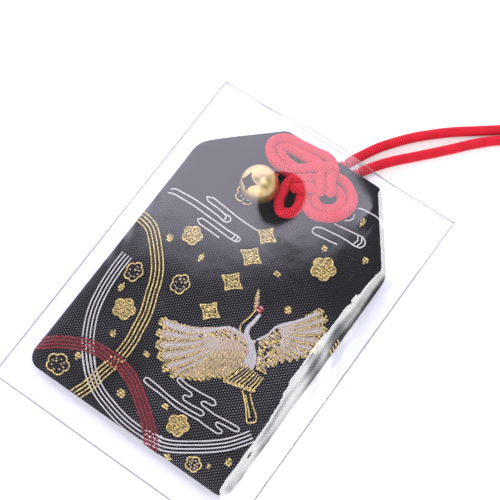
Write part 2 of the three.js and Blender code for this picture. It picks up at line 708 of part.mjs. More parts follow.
function frontFilm() {
  const inner = sleeve_half_width - weld_width;
  const left_side = spread(-inner, flat_left, 3);
  const right_side = spread(flat_right, inner, 3);
  const across = spread(flat_left, flat_right, 16);
  const columns = [-sleeve_half_width, ...left_side, ...across, ...right_side, inner, sleeve_half_width];
  const low_rows = spread(weld_width - sleeve_half_length, flat_bottom, 3);
  const knot_rows = spread(front_taper_start, sleeve_half_length, 14);
  const flat_rows = spread(flat_bottom, front_taper_start, 6);
  const rows = [-sleeve_half_length, ...low_rows, ...flat_rows, ...knot_rows, sleeve_half_length];
  const dipped = (x, y) => {
    const dip = 1 - (Math.abs(x) / sleeve_half_width) ** 4;
    return y - mouth_dip * dip * smooth((y - taper_start) / (sleeve_half_length - taper_start));
  };
  const places = rows.map((row) => columns.map((x) => ({ x, y: dipped(x, row) })));
  const heights = tautHeights(columns, places);
  const points = [];
  for (const lift of [film_thickness, 0]) {
    for (const [row, line] of places.entries()) {
      for (const [column, { x, y }] of line.entries()) {
        points.push(new THREE.Vector3(x, y, heights[row][column] + lift));
      }
    }
  }
  const faces = [];
  const layer = rows.length * columns.length;
  const at = (row, column, side) => side * layer + row * columns.length + column;
  for (let row = 0; row + 1 < rows.length; row += 1) {
    for (let column = 0; column + 1 < columns.length; column += 1) {
      for (const side of [0, 1]) {
        const near = [at(row, column, side), at(row, column + 1, side)];
        const far = [at(row + 1, column + 1, side), at(row + 1, column, side)];
        const quad = columns[column] < 0 ? [...near, ...far] : [near[1], ...far, near[0]];
        const halves = [[quad[0], quad[1], quad[2]], [quad[0], quad[2], quad[3]]];
        faces.push(...halves.map((half) => (side === 0 ? half : half.reverse())));
      }
    }
  }
  const rim = [];
  for (let column = 0; column + 1 < columns.length; column += 1) rim.push([0, column]);
  for (let row = 0; row + 1 < rows.length; row += 1) rim.push([row, columns.length - 1]);
  for (let column = columns.length - 1; column > 0; column -= 1) rim.push([rows.length - 1, column]);
  for (let row = rows.length - 1; row > 0; row -= 1) rim.push([row, 0]);
  for (const [index, [row, column]] of rim.entries()) {
    const [next_row, next_column] = rim[(index + 1) % rim.length];
    const [a, b] = [at(row, column, 0), at(next_row, next_column, 0)];
    const [c, d] = [at(row, column, 1), at(next_row, next_column, 1)];
    faces.push([a, c, d], [a, d, b]);
  }
  return triangleGeometry(points, faces);
}

function backFilm() {
  const sheet = new THREE.BoxGeometry(sleeve_width, sleeve_length, film_thickness);
  return sheet.translate(0, 0, film_thickness / 2);
}

// The whole charm
const charm = new THREE.Group();
charm.add(part('sleeve_back_film', backFilm(), film));
charm.add(part('sleeve_front_film', frontFilm(), film));
charm.add(part('brocade_front', brocadePanel(front_profile_shares, 1), brocade));
charm.add(part('brocade_back', brocadePanel(back_profile_shares, -1), brocade));
charm.add(part('seam_thread', seamThread(), gold_thread));
charm.add(part('lining_front', liningSheet(lining_front_base), lining_cloth));
charm.add(part('lining_back', liningSheet(lining_base), lining_cloth));
charm.add(part('wadding_pad', waddingPad(), wadding_wool));
charm.add(part('stiffener_card', stiffenerCard(), card_board));
charm.add(part('talisman_tablet', talismanTablet(), wood));
charm.add(part('talisman_paper', talismanPaper(), paper));
charm.add(part('knot_cord', knotCord(), red_cord));
charm.add(part('cord_loop', cordLoop(), red_cord));
charm.add(part('bell_tie', bellTie(), red_cord));
charm.add(bellGroup());
charm.add(part('bell_pellet', bellPellet(), steel));

export default charm;
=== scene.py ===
"""Omamori charm: a brocade bag with a knotted cord and a bell, lying in a clear film sleeve."""
import math

import bpy
import numpy as np
from mathutils import Matrix, Quaternion, Vector


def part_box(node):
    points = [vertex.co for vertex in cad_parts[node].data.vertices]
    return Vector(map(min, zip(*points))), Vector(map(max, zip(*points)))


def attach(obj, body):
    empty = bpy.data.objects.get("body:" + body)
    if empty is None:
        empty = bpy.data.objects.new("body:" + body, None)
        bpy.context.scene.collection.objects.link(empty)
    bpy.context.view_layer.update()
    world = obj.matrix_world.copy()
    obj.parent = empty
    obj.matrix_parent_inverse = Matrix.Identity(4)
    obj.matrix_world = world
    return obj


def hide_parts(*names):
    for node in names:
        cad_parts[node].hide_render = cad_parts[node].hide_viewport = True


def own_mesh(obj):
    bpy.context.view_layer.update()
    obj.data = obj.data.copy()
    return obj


bl_info = {
    "name": "Omamori charm in its sleeve",
    "version": (1, 0, 0),
    "blender": (4, 5, 0),
    "location": "3D View > Sidebar > Charm",
    "description": "Makes a brocade amulet bag with its cord, bell and clear film sleeve",
    "category": "Add Mesh",
}

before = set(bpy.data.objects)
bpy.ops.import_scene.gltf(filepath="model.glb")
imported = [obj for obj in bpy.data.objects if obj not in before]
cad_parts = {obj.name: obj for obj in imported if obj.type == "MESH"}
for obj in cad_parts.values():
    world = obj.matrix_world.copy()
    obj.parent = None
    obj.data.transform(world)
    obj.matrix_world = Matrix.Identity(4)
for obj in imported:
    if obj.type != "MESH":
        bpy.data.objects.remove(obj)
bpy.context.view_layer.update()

MM = 0.001

# Sizes of the clear sleeve, in millimetres
SLEEVE_WIDTH, SLEEVE_LENGTH = 62.0, 85.0
FILM_BASE, FILM_STEP = 0.25, 0.4
BACK_FILM_TOP, BACK_FILM_THICKNESS = 0.2, 0.18
WELD_WIDTH = 1.2
MOUTH_DIP = 3.0
FILM_CLEARANCE = 0.5
KNOT_FILM_REACH = 2.6
EDGE_LINE = 0.2

# Sizes of the bag, in millimetres
BAG_WIDTH, BAG_LENGTH = 52.6, 75.2
BAG_OFFSET, BAG_BOTTOM = 0.35, -36.4
BAG_TOP = BAG_BOTTOM + BAG_LENGTH
BAG_LEFT, BAG_RIGHT = BAG_OFFSET - BAG_WIDTH / 2, BAG_OFFSET + BAG_WIDTH / 2
SEAM_HEIGHT, MOUTH_LIFT = 1.8, 1.85
FRONT_HEIGHT, FRONT_MOUTH_HEIGHT, FRONT_TAPER = 4.45, 0.9, 24.0
BACK_HEIGHT, BACK_MOUTH_HEIGHT, TAPER = 1.25, 0.85, 14.0
TAPER_START = BAG_TOP - 1.5 * TAPER
SEAM_INSET, LEVEL_INSET = 0.99, 30
STITCH_LENGTH = 2.6
CLOTH_THICKNESS = 0.5
THREAD_STEP = 0.15
ARC_POINTS, OUTLINE_STEP = 22, 0.55
EYELETS = ((1.6, 32.5), (4.9, 32.5))
EYELET_RADIUS = 1.7
BAG_CORNERS = (
    (BAG_LEFT, BAG_BOTTOM, 3.0),
    (BAG_RIGHT, BAG_BOTTOM, 3.0),
    (BAG_RIGHT, BAG_TOP - 16.5, 6.0),
    (BAG_RIGHT - 12.4, BAG_TOP, 3.0),
    (BAG_LEFT + 15.0, BAG_TOP, 3.0),
    (BAG_LEFT, BAG_TOP - 13.5, 6.0),
)

# Sizes of the cord and the bell, in millimetres
CORD_DIAMETER = 2.2
CORD_RADIUS = CORD_DIAMETER / 2
KNOT_GAP = 0.3
LEG_HEIGHT = 1.41
BELL_RADIUS, BELL_WALL, BELL_REACH = 4.25, 0.4, 4.75
BELL_TIE = (-4.77, 24.73, 6.94)
BELL_LEAN, BELL_HEADING = math.radians(37.8), math.radians(233.7)
BELL_SWING = math.radians(15)
STAR_SIZE, STAR_POWER, LIP_SWELL = 5.2, 0.78, 0.06
BAIL_RADIUS, WIRE_RADIUS = 0.75, 0.25

# Thread diameters in millimetres with their turns per metre, and the lining's thickness in millimetres
SEAM_THREAD, TIE_THREAD, COUCHED_TURNS = (0.45, 900), (0.7, 700), 700
LINING_THICKNESS = 0.18

# The cord's points, measured from the middle of the bag's mouth edge: [x, y, layer] in the knot
KNOT_RUNS = {
    "left_ear_outer": [
        (-0.95, -9.6, 0.4), (-4.35, -9.5, 0.2), (-7.95, -9, 0.2), (-10.65, -7.3, 0.1),
        (-11.45, -4.9, 0.1), (-9.75, -2.8, 0.1), (-5.95, -2.1, 0.15), (-1.95, -2.0, 0.5),
        (0.5, -1.9, 0.8), (2.3, -2.4, 0.95), (3.4, -3.5, 0.7), (3.5, -4.9, 0.2),
    ],
    "left_ear_inner": [
        (0.45, -7.8, 0), (-2.75, -7.6, 0), (-5.95, -7.4, 0), (-8.35, -6.6, 0), (-9.15, -5.4, 0),
        (-7.95, -4.4, 0.05), (-5.15, -4.1, 0.15), (-1.95, -4.3, 0.6), (0.1, -4.3, 0.8), (1.7, -4.7, 0.3),
    ],
    "right_ear_outer": [
        (4.25, -4.5, 0.2), (6.25, -4.3, 0.2), (8.25, -4.8, 0.1), (10.45, -6.4, 0.1), (11.45, -9, 0.1),
        (10.45, -11.9, 0.1), (7.95, -13.9, 0.1), (5.25, -14.5, 0.15), (3.15, -13.4, 0.3),
        (1.45, -11.3, 0.3),
    ],
    "right_ear_inner": [
        (4.85, -6.9, 0), (7.05, -6.9, 0), (8.75, -7.8, 0), (9.35, -9.5, 0), (8.55, -11.2, 0),
        (6.75, -12.3, 0), (4.85, -12.2, 0.1), (3.25, -10.6, 0.2),
    ],
    "lower_loop": [
        (-1.35, -8.8, 0.4), (-2.6, -10.8, 0.2), (-2.75, -13.2, 0.05), (-2.1, -15.9, 0),
        (-0.25, -17.9, 0.05), (1.75, -16.9, 0.05), (2.15, -14.8, 0.1), (1.25, -12.4, 0.15),
        (0.25, -10.2, 0.1),
    ],
    "upper_bar": [(-3.85, -8.45, 0.2), (-2.85, -8.4, 0.85), (-1.25, -7.3, 1.05), (0.1, -6.0, 0.85), (0.6, -4.9, 0.2)],
    "middle_bar": [(-2.4, -10.5, 0.2), (-1.3, -10.3, 0.8), (0.2, -9.25, 1.0), (1.5, -8.0, 0.8), (1.96, -7.1, 0.2)],
    "lower_bar": [(-1.0, -12.0, 0.2), (0, -11.8, 0.75), (1.4, -10.95, 0.95), (2.7, -9.9, 0.75), (3.1, -8.9, 0.2)],
    "left_post": [(1.0, -4.8, 0.4), (2.1, -6.3, 1.0), (3.4, -8.2, 1.1), (4.15, -9.25, 0.8), (4.4, -9.8, 0.2)],
    "right_post": [(2.8, -3.5, 0.4), (3.95, -5.2, 1.0), (5.25, -7.1, 1.1), (5.95, -8.15, 0.8), (6.25, -8.7, 0.2)],
    "cross_bar": [(-0.9, -6.3, 0.2), (0.3, -5.8, 1.2), (1.9, -4.95, 1.45), (3.1, -4.15, 1.35), (3.9, -3.2, 0.5)],
}
LEGS = (
    (EYELETS[0], [(1.65, -3.4), (2.55, -1), (3.45, 1.3)]),
    (EYELETS[1], [(5.05, -3.3), (6.05, -1), (7.05, 1.3)]),
)
LOOP_ROUTE = [
    (3.7, 1.8, 1.4), (4.55, 3.9, 1.35), (5.45, 5.9, 1.15), (6.95, 8.7, 1.15), (9.15, 11.8, 1.15),
    (11.85, 15.1, 1.15), (15.05, 18.3, 1.15), (18.55, 21.4, 1.15), (22.65, 24.5, 1.15),
    (26.95, 27.8, 1.15), (30.65, 31.3, 1.15), (33.65, 35.4, 1.15), (36.65, 39.9, 1.15),
    (40.25, 43.6, 1.15), (44.85, 45.6, 1.15), (49.25, 43.9, 1.15), (50.25, 39.4, 1.15),
    (47.05, 35.6, 1.15), (41.95, 33.5, 1.15), (36.65, 31.2, 1.15), (32.05, 28.4, 1.15),
    (28.05, 25.4, 1.15), (24.05, 21.6, 1.15), (20.85, 18, 1.15), (17.65, 14.5, 1.15),
    (14.55, 11.2, 1.15), (11.65, 8.1, 1.15), (9.65, 5.6, 1.15), (8.35, 3.6, 1.35), (7.3, 1.8, 1.4),
]

# The camera's place and its right, down and forward directions
CAMERA_PLACE = (83.843, -75.139, 308.378)
CAMERA_AXES = (
    (0.80893572, 0.58475931, -0.06065937),
    (0.52757045, -0.7675808, -0.36399057),
    (-0.25940784, 0.26244288, -0.92942526),
)
CAMERA_LENS = 109.0
DRAWING_HEIGHT = 5.0


def linear(hex_colour):
    """Turns an sRGB hex colour into the linear values that shaders take."""
    channels = [int(hex_colour[i:i + 2], 16) / 255 for i in (1, 3, 5)]
    return tuple(c / 12.92 if c <= 0.04045 else ((c + 0.055) / 1.055) ** 2.4 for c in channels) + (1.0,)


# ---------------------------------------------------------------- sizes and colours to change
def colour(name, description, default):
    """A colour property."""
    return bpy.props.FloatVectorProperty(
        name=name, description=description, subtype="COLOR", size=4, min=0, max=1, default=linear(default))


def length(name, description, default):
    """A length property, given in millimetres."""
    return bpy.props.FloatProperty(
        name=name, description=description, subtype="DISTANCE", unit="LENGTH", precision=5, default=default * MM)


def amount(name, description, default, **limits):
    """A plain number property, never under 0."""
    return bpy.props.FloatProperty(name=name, description=description, default=default, **{"min": 0, **limits})


class CharmBag(bpy.types.PropertyGroup):
    """The brocade bag and its embroidery"""
    thread_pitch: length("Weft pitch", "Distance between the rows of pattern threads", 0.28)
    thread_width: length("Thread width", "Width of a pattern thread on the cloth", 0.29)
    thread_height: length("Thread height", "Height of a pattern thread over the cloth", 0.2)
    gold_thickness: amount("Gold thickness", "How many times thicker the gold thread is than the silk",
                           1.85, min=1, max=2.5)
    couched_width: length("Couched thread", "Width of the threads that are laid on top of the cloth", 0.35)
    longest_float: length("Longest float", "A pattern thread dips into the cloth after this length", 1.05)
    dot_pitch: length("Ground dots", "Distance between the pale binding dots of the ground weave", 0.6)
    ground: colour("Ground", "Near-black ground of the brocade", "#0c0b0f")
    dots: colour("Binding dots", "Pale threads that show as dots in the ground", "#d6d2de")
    # The gold thread's material paints glints and shade over this colour
    gold: colour("Gold thread", "Foil-wrapped pattern thread", "#e4cb84")
    silk: colour("White silk", "Cool white pattern thread", "#d4cfd0")
    cream: colour("Cream silk", "Cream pattern thread of the feathers", "#d2bba2")
    red: colour("Red silk", "Red pattern thread", "#a81a2c")
    dark_red: colour("Dark red silk", "Red pattern thread that lies under the dark warp", "#430c18")


class CharmCord(bpy.types.PropertyGroup):
    """The braided cord"""
    strands: bpy.props.IntProperty(
        name="Strands", description="Strands of the braid in each direction", default=8, min=4, max=16)
    cell: length("Braid cell", "Length of one crossing along the cord", 0.62)
    relief: length("Relief", "Height of a strand over the valley beside it", 0.26)
    colour: colour("Cord", "Dyed red of the braid", "#ff2c42")
    # Painted shade: the darker red that the cord's material mixes into the valleys between the strands
    shade: colour("Valleys", "Red between the strands", "#98081c")


class CharmBell(bpy.types.PropertyGroup):
    """The bell"""
    brass: colour("Brass", "Polished brass of the bell", "#cbb07a")
    roughness: amount("Roughness", "Roughness of the polished brass", 0.38, max=1)


class CharmSleeve(bpy.types.PropertyGroup):
    """The clear sleeve"""
    thickness: length("Film", "Thickness of the film", 0.12)
    roughness: amount("Roughness", "Roughness of the film's faces", 0.05, max=1)
    gloss: amount("Gloss", "Share of the light that both faces of the film send back, over one face's", 3.0, max=4)


class CharmStage(bpy.types.PropertyGroup):
    """The floor and the room's light"""
    window: amount("Window box", "Radiance of the large soft box that the film mirrors", 2.0)
    strip: amount("Strip box", "Radiance of the strip box on the right", 6.5)
    side: amount("Side wall", "Radiance of the bright wall on the left", 0.6)
    behind: amount("Front light", "Radiance of the bright wall behind the camera", 1.6)
    zenith: amount("Ceiling", "Radiance of the room overhead", 0.1)
    horizon: amount("Walls", "Radiance of the room round the horizon", 1.15)
    lift: amount("Floor lift", "Light that the white floor adds, so that it stays white", 0.2)
    floor: colour("Floor", "Pale table", "#f4f4f6")


# ---------------------------------------------------------------- nodes, materials and meshes
def add_node(tree, kind, sockets=(), **settings):
    """Adds a node with its settings, and fills or links its inputs, by name or in their order."""
    item = tree.nodes.new(kind if "Node" in kind else "ShaderNode" + kind)
    for key, value in settings.items():
        setattr(item, key, value)
    if isinstance(sockets, dict):
        filled = [(item.inputs[key], value) for key, value in sockets.items()]
    else:
        filled = zip([socket for socket in item.inputs if socket.enabled], sockets)
    for socket, value in filled:
        if isinstance(value, bpy.types.Node):
            value = next(output for output in value.outputs if output.enabled)
        if isinstance(value, bpy.types.NodeSocket):
            tree.links.new(value, socket)
        else:
            socket.default_value = value
    return item


def new_material(name):
    """An empty material and its node tree."""
    material = bpy.data.materials.new(name)
    material.use_nodes = True
    material.node_tree.nodes.clear()
    return material, material.node_tree


def closed_material(material, base, height, bump, sockets):
    """Ends a material: its base colour, a bump of a strength and depth over a height, and its shader's values."""
    tree = material.node_tree
    strength, depth = bump
    relief = add_node(tree, "Bump", {"Height": height, "Strength": strength, "Distance": depth})
    shader = add_node(tree, "BsdfPrincipled", {"Base Color": base, "Normal": relief, **sockets})
    add_node(tree, "OutputMaterial", [shader])
    return material


def mesh_piece(name, points, faces, material=None, edges=(), smooth=True, attributes=None, uv=None):
    """An object at the origin from points in millimetres and faces."""
    mesh = bpy.data.meshes.new(name)
    mesh.from_pydata((np.asarray(points, float) * MM).tolist(), edges, [list(map(int, face)) for face in faces])
    mesh.polygons.foreach_set("use_smooth", [smooth] * len(mesh.polygons))
    for key, values in (attributes or {}).items():
        values = np.asarray(values, np.float32)
        plain = values.ndim == 1
        attribute = mesh.attributes.new(key, "FLOAT" if plain else "FLOAT_VECTOR", "POINT")
        attribute.data.foreach_set("value" if plain else "vector", values.ravel())
    if uv is not None:
        layer = mesh.uv_layers.new(name="cloth")
        corners = np.zeros(len(mesh.loops), np.int32)
        mesh.loops.foreach_get("vertex_index", corners)
        layer.data.foreach_set("uv", np.asarray(uv, np.float32)[corners].ravel())
    if material:
        mesh.materials.append(material)
    mesh.update()
    piece = bpy.data.objects.new(name, mesh)
    bpy.context.scene.collection.objects.link(piece)
    return piece


def declare(piece, body, node=None):
    """Lets a piece ride on its body, and hides the node whose place it takes."""
    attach(piece, body)
    if node:
        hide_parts(node)


def unit(vectors):
    """Rows of vectors, each brought to a length of 1."""
    return vectors / np.linalg.norm(vectors, axis=1)[:, None]


def distance_along(points):
    """Distance along a line of points, at each of them."""
    return np.concatenate([[0], np.cumsum(np.linalg.norm(np.diff(points, axis=0), axis=1))])


def full_turn(count):
    """Even angles round a full turn."""
    return np.arange(count) * 2 * np.pi / count


def ball_points(radius, polar, around, centre=(0, 0, 0)):
    """Points at a radius and two angles round a centre, the first angle from straight up."""
    return np.stack([radius * np.sin(polar) * np.cos(around), radius * np.sin(polar) * np.sin(around),
                     radius * np.cos(polar) * np.ones(np.shape(around))], axis=-1) + centre


def node_box(node):
    """Middle and half size of a node's box, in millimetres."""
    low, high = (np.array(corner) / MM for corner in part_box(node))
    return (low + high) / 2, (high - low) / 2


def closed_rings(rings, first, last, turned=False):
    """A closed mesh from rings of points and the two points that close its ends."""
    count, around = len(rings), len(rings[0])
    ends = count * around, count * around + 1
    base = (count - 1) * around
    faces = grid_faces(count, around, closed=True).tolist()
    faces += [(ends[0], (i + 1) % around, i) for i in range(around)]
    faces += [(ends[1], base + i, base + (i + 1) % around) for i in range(around)]
    return np.vstack([*rings, first, last]), [face[::-1] for face in faces] if turned else faces


def make_plain(piece):
    """Turns a piece and its modifiers into a plain mesh."""
    bpy.context.view_layer.update()
    evaluated = piece.evaluated_get(bpy.context.evaluated_depsgraph_get())
    mesh = bpy.data.meshes.new_from_object(evaluated)
    mesh.name = piece.name
    piece.modifiers.clear()
    piece.data = mesh
    return piece


def thicken(piece, thickness):
    """Gives a sheet its wall thickness, in millimetres, on the inner side of its faces."""
    piece.modifiers.new("wall", "SOLIDIFY").thickness = thickness * MM
    return make_plain(piece)


def grid_faces(rows, columns, closed=False):
    """Quads of a grid of points that is stored row by row."""
    row, column = np.meshgrid(np.arange(rows - 1), np.arange(columns if closed else columns - 1), indexing="ij")
    right = (column + 1) % columns
    quads = np.stack([row * columns + column, row * columns + right,
                      (row + 1) * columns + right, (row + 1) * columns + column], axis=-1)
    return quads.reshape(-1, 4)


def spline_through(knots, step):
    """Points at even steps on the centripetal spline through the given points."""
    knots = np.asarray(knots, float)
    padded = np.vstack([2 * knots[0] - knots[1], knots, 2 * knots[-1] - knots[-2]])
    share = np.linspace(0, 1, 24, endpoint=False)[:, None]
    fine = []
    for p0, p1, p2, p3 in zip(padded, padded[1:], padded[2:], padded[3:]):
        t0, t1, t2 = (np.linalg.norm(b - a) ** 0.5 for a, b in ((p0, p1), (p1, p2), (p2, p3)))
        leave = ((p1 - p0) / t0 - (p2 - p0) / (t0 + t1) + (p2 - p1) / t1) * t1
        arrive = ((p2 - p1) / t1 - (p3 - p1) / (t1 + t2) + (p3 - p2) / t2) * t1
        square, cube = share ** 2, share ** 3
        fine.append(p1 + leave * share + (3 * (p2 - p1) - 2 * leave - arrive) * square
                    + (2 * (p1 - p2) + leave + arrive) * cube)
    fine = np.vstack([*fine, knots[-1]])
    along = distance_along(fine)
    stations = np.linspace(0, along[-1], max(int(round(along[-1] / step)), 2) + 1)
    return np.stack([np.interp(stations, along, axis) for axis in fine.T], axis=1)


def sides_along(points):
    """Two steady side directions along a line of points."""
    tangents = unit(np.gradient(points, axis=0))
    side = np.cross(tangents[0], (0, 0, 1))
    if np.linalg.norm(side) < 0.2:
        side = np.cross(tangents[0], (0, 1, 0))
    sides = np.empty_like(points)
    for index, tangent in enumerate(tangents):
        side = side - tangent * np.dot(side, tangent)
        side = side / np.linalg.norm(side)
        sides[index] = side
    return sides, np.cross(tangents, sides)


def tube_mesh(points, radii):
    """A closed round-ended tube; radii has one row for each point and one column for each side."""
    sides, ups = sides_along(points)
    angle = full_turn(radii.shape[1])
    spokes = np.cos(angle)[None, :, None] * sides[:, None] + np.sin(angle)[None, :, None] * ups[:, None]
    radii = radii.copy()
    # The two rings at each end shrink, so that the ends are round
    for index, share in ((0, 0.45), (1, 0.85), (-1, 0.45), (-2, 0.85)):
        radii[index] *= share
    return closed_rings(points[:, None] + spokes * radii[:, :, None], points[0], points[-1], turned=True)


def joined(meshes):
    """Several meshes as one list of points and one of faces."""
    points, faces, start = [], [], 0
    for verts, mesh_faces in meshes:
        points.append(verts)
        faces += [[index + start for index in face] for face in mesh_faces]
        start += len(verts)
    return np.vstack(points), faces


# ---------------------------------------------------------------- the bag's form
def ease(share):
    """Rises smoothly from 0 to 1."""
    share = np.clip(share, 0, 1)
    return share * share * (3 - 2 * share)


def seam_line(y):
    """Height of the seam between the two panels."""
    return SEAM_HEIGHT + MOUTH_LIFT * ease((y - TAPER_START) / TAPER)


def front_rise(y):
    """Height of the front panel over the seam line."""
    return FRONT_HEIGHT + (FRONT_MOUTH_HEIGHT - FRONT_HEIGHT) * ease((y - BAG_TOP + FRONT_TAPER) / FRONT_TAPER)


def back_drop(y):
    """Depth of the back panel under the seam line."""
    return BACK_HEIGHT + (BACK_MOUTH_HEIGHT - BACK_HEIGHT) * ease((y - TAPER_START) / TAPER)


def outline_corners():
    """Corner points, the directions of arriving and leaving edges, their turn and radius."""
    corners = np.array(BAG_CORNERS)
    points, radius = corners[:, :2], corners[:, 2]
    leaving = np.roll(points, -1, axis=0) - points
    leaving /= np.linalg.norm(leaving, axis=1)[:, None]
    arriving = np.roll(leaving, 1, axis=0)
    turn = arriving[:, 0] * leaving[:, 1] - arriving[:, 1] * leaving[:, 0]
    return points, radius, arriving, leaving, turn


def bag_outline(inset):
    """Points round the bag's outline, moved in by an inset; every inset has as many points."""
    points, radius, arriving, leaving, turn = outline_corners()
    moved = points + inset * (leaving - arriving) / turn[:, None]
    radius = np.maximum(radius - inset, 0.15)
    half = np.arcsin(np.minimum(turn, 1)) / 2
    inward = np.stack([-arriving[:, 1], arriving[:, 0]], axis=1)
    start = moved - arriving * (radius * np.tan(half))[:, None]
    centre = start + inward * radius[:, None]
    edges = np.linalg.norm(np.roll(points, -1, axis=0) - points, axis=1)
    arcs = []
    for middle, (x, y), reach in zip(centre, start - centre, half):
        angle = np.linspace(0, 2 * reach, ARC_POINTS)
        cos, sin = np.cos(angle), np.sin(angle)
        arcs.append(middle + np.stack([cos * x - sin * y, sin * x + cos * y], axis=1))
    outline = []
    for arc, following, edge in zip(arcs, arcs[1:] + arcs[:1], edges):
        share = np.linspace(0, 1, max(int(edge / OUTLINE_STEP), 2) + 1)[1:-1, None]
        outline += [arc, arc[-1] + share * (following[0] - arc[-1])]
    return np.vstack(outline)


def outline_distance(x, y):
    """Distance in from the bag's outline, negative outside it, and the inward direction."""
    points, radius, arriving, leaving, turn = outline_corners()
    place = np.stack([x, y], axis=-1)
    best = np.full(x.shape, np.inf)
    inward = np.zeros(place.shape)
    for point, direction in zip(points, leaving):
        normal = np.array([-direction[1], direction[0]])
        distance = (place - point) @ normal
        nearer = distance < best
        best = np.where(nearer, distance, best)
        inward[nearer] = normal
    for point, size, come, leave, half in zip(points, radius, arriving, leaving, np.arcsin(np.minimum(turn, 1)) / 2):
        spoke = place - (point - come * size * np.tan(half) + np.array([-come[1], come[0]]) * size)
        inside = (spoke @ come > 0) & (spoke @ leave < 0)
        reach = np.maximum(np.linalg.norm(spoke, axis=-1), 1e-9)
        best = np.where(inside, size - reach, best)
        inward[inside] = (-spoke / reach[..., None])[inside]
    return best, inward


def section_flats(inset, share, height):
    """Flat distance along a panel's side, which equals the inset on the panel's level middle."""
    along = np.concatenate([[0], np.cumsum(np.hypot(np.diff(inset), np.diff(share) * height))])
    flat = along - along[-2] + inset[-2]
    flat[-1] = inset[-1]
    return flat


def crown_share(inset):
    """Share of the panel's height at an inset from the outline."""
    return 1 - 0.68 * np.exp(-(np.maximum(inset, 0) / 1.35) ** 1.1)


def front_section():
    """The front panel's side as flat distance, inset and height share, from the seam upwards."""
    angle = np.linspace(np.pi / 2, 0, 13)
    under_inset = SEAM_INSET * (1 - np.cos(angle[::-1]))[::-1]
    under_share = 0.02 + 0.3 * (1 - np.sin(angle))
    crown = np.concatenate([np.linspace(0, 1, 13)[1:] ** 1.5 * 3, [LEVEL_INSET]])
    inset = np.concatenate([under_inset, crown])
    share = np.concatenate([under_share, crown_share(crown)])
    flat = section_flats(inset, share, FRONT_HEIGHT)
    return flat, inset, share, flat[len(under_inset) - 1]


def placed_on(section, flat_x, flat_y):
    """Places and height shares of a panel's section for points of its flat cloth."""
    flat, inward = outline_distance(flat_x, flat_y)
    inset, share = (np.interp(flat, section[0], values) for values in section[1:])
    x, y = (place + inward[..., axis] * (inset - flat) for axis, place in enumerate((flat_x, flat_y)))
    return x, y, inset, share, flat, inward


*FRONT_SECTION, BULGE_FLAT = front_section()


def puckers(x, y, inset):
    """Small swells of the stuffed cloth, its gathers at the mouth, and its rise under the knot."""
    calm = ease(inset / 5)
    swell = 0.05 * np.sin(x * 0.31 + 0.5 * np.sin(y * 0.21)) + 0.05 * np.sin(y * 0.23 + 1.7 + 0.3 * np.sin(x * 0.4))
    fold = 0.09 * np.exp(-(BAG_TOP - y) / 7) * np.sin((x - 3) * 2.1 + 0.4 * np.sin(y * 0.5))
    knot = 0.2 * np.exp(-(((x - 1) / 13) ** 2 + ((y - 29) / 10) ** 2) ** 2)
    edge = 0.05 * np.sin(x * 1.1 + y * 0.9) * np.exp(-((inset - 1.2) / 1.2) ** 2)
    return calm * (swell + fold + knot) + edge


def front_surface(flat_x, flat_y):
    """Places on the front panel for points of the flat cloth."""
    x, y, inset, share, flat, inward = placed_on(FRONT_SECTION, flat_x, flat_y)
    z = seam_line(y) + front_rise(y) * share + puckers(x, y, inset) * (flat > BULGE_FLAT)
    return np.stack([x, y, z], axis=-1), flat, inward


def front_height(x, y):
    """Height of the front panel over a place inside the outline."""
    inset, _ = outline_distance(x, y)
    return seam_line(y) + front_rise(y) * crown_share(inset) + puckers(x, y, inset), inset


def front_middle(y):
    """Height of the panel's flat middle, which carries the cord."""
    return seam_line(y) + front_rise(y)


# ---------------------------------------------------------------- the camera
class CHARM_OT_camera(bpy.types.Operator):
    """Places the camera at the photograph's angle"""
    bl_idname = "charm.camera"
    bl_label = "Camera"

    def execute(self, context):
        data = bpy.data.cameras.new("camera")
        data.sensor_width = 36
        data.lens = CAMERA_LENS
        data.clip_start, data.clip_end = 0.02, 20
        camera = bpy.data.objects.new("camera", data)
        right, down, forward = (Vector(axis) for axis in CAMERA_AXES)
        turn = Matrix((right, -down, -forward)).transposed()
        camera.matrix_world = Matrix.Translation(Vector(CAMERA_PLACE) * MM) @ turn.to_4x4()
        context.scene.collection.objects.link(camera)
        context.scene.camera = camera
        return {"FINISHED"}


# ---------------------------------------------------------------- the cords
def braided_cord_material(cord):
    """Braided rayon cord: a deep red, with painted shade that darkens it between the strands, and a soft silky sheen.
    """
    material, tree = new_material("braided rayon cord")
    relief = add_node(tree, "Attribute", attribute_name="relief").outputs["Fac"]
    place = add_node(tree, "TexCoord").outputs["Object"]
    fibre = add_node(tree, "TexNoise", (place, 5200, 2, 0.6))
    uneven = add_node(tree, "TexNoise", (place, 420, 1))
    # Painted shade: where the braid's relief is low, between the strands, the red turns to the darker valley colour;
    # fibre noise breaks up the lit crests
    depth = add_node(tree, "MapRange", (relief, 0.1, 0.7))
    crest_light = add_node(tree, "Math", (depth, fibre), operation="MULTIPLY")
    lifted = add_node(tree, "Math", (crest_light, 1.7), operation="MULTIPLY", use_clamp=True)
    coloured = add_node(tree, "Mix", (lifted, cord.shade, cord.colour), data_type="RGBA")
    bright = add_node(tree, "MapRange", (uneven, 0.3, 0.7, 0.92, 1.06))
    tinted = add_node(tree, "HueSaturation", {"Color": coloured, "Value": bright})
    return closed_material(material, tinted, fibre, (0.25, 0.00005), {
        "Roughness": 0.55, "Sheen Weight": 0.05, "Sheen Roughness": 0.4, "Specular IOR Level": 0.15})


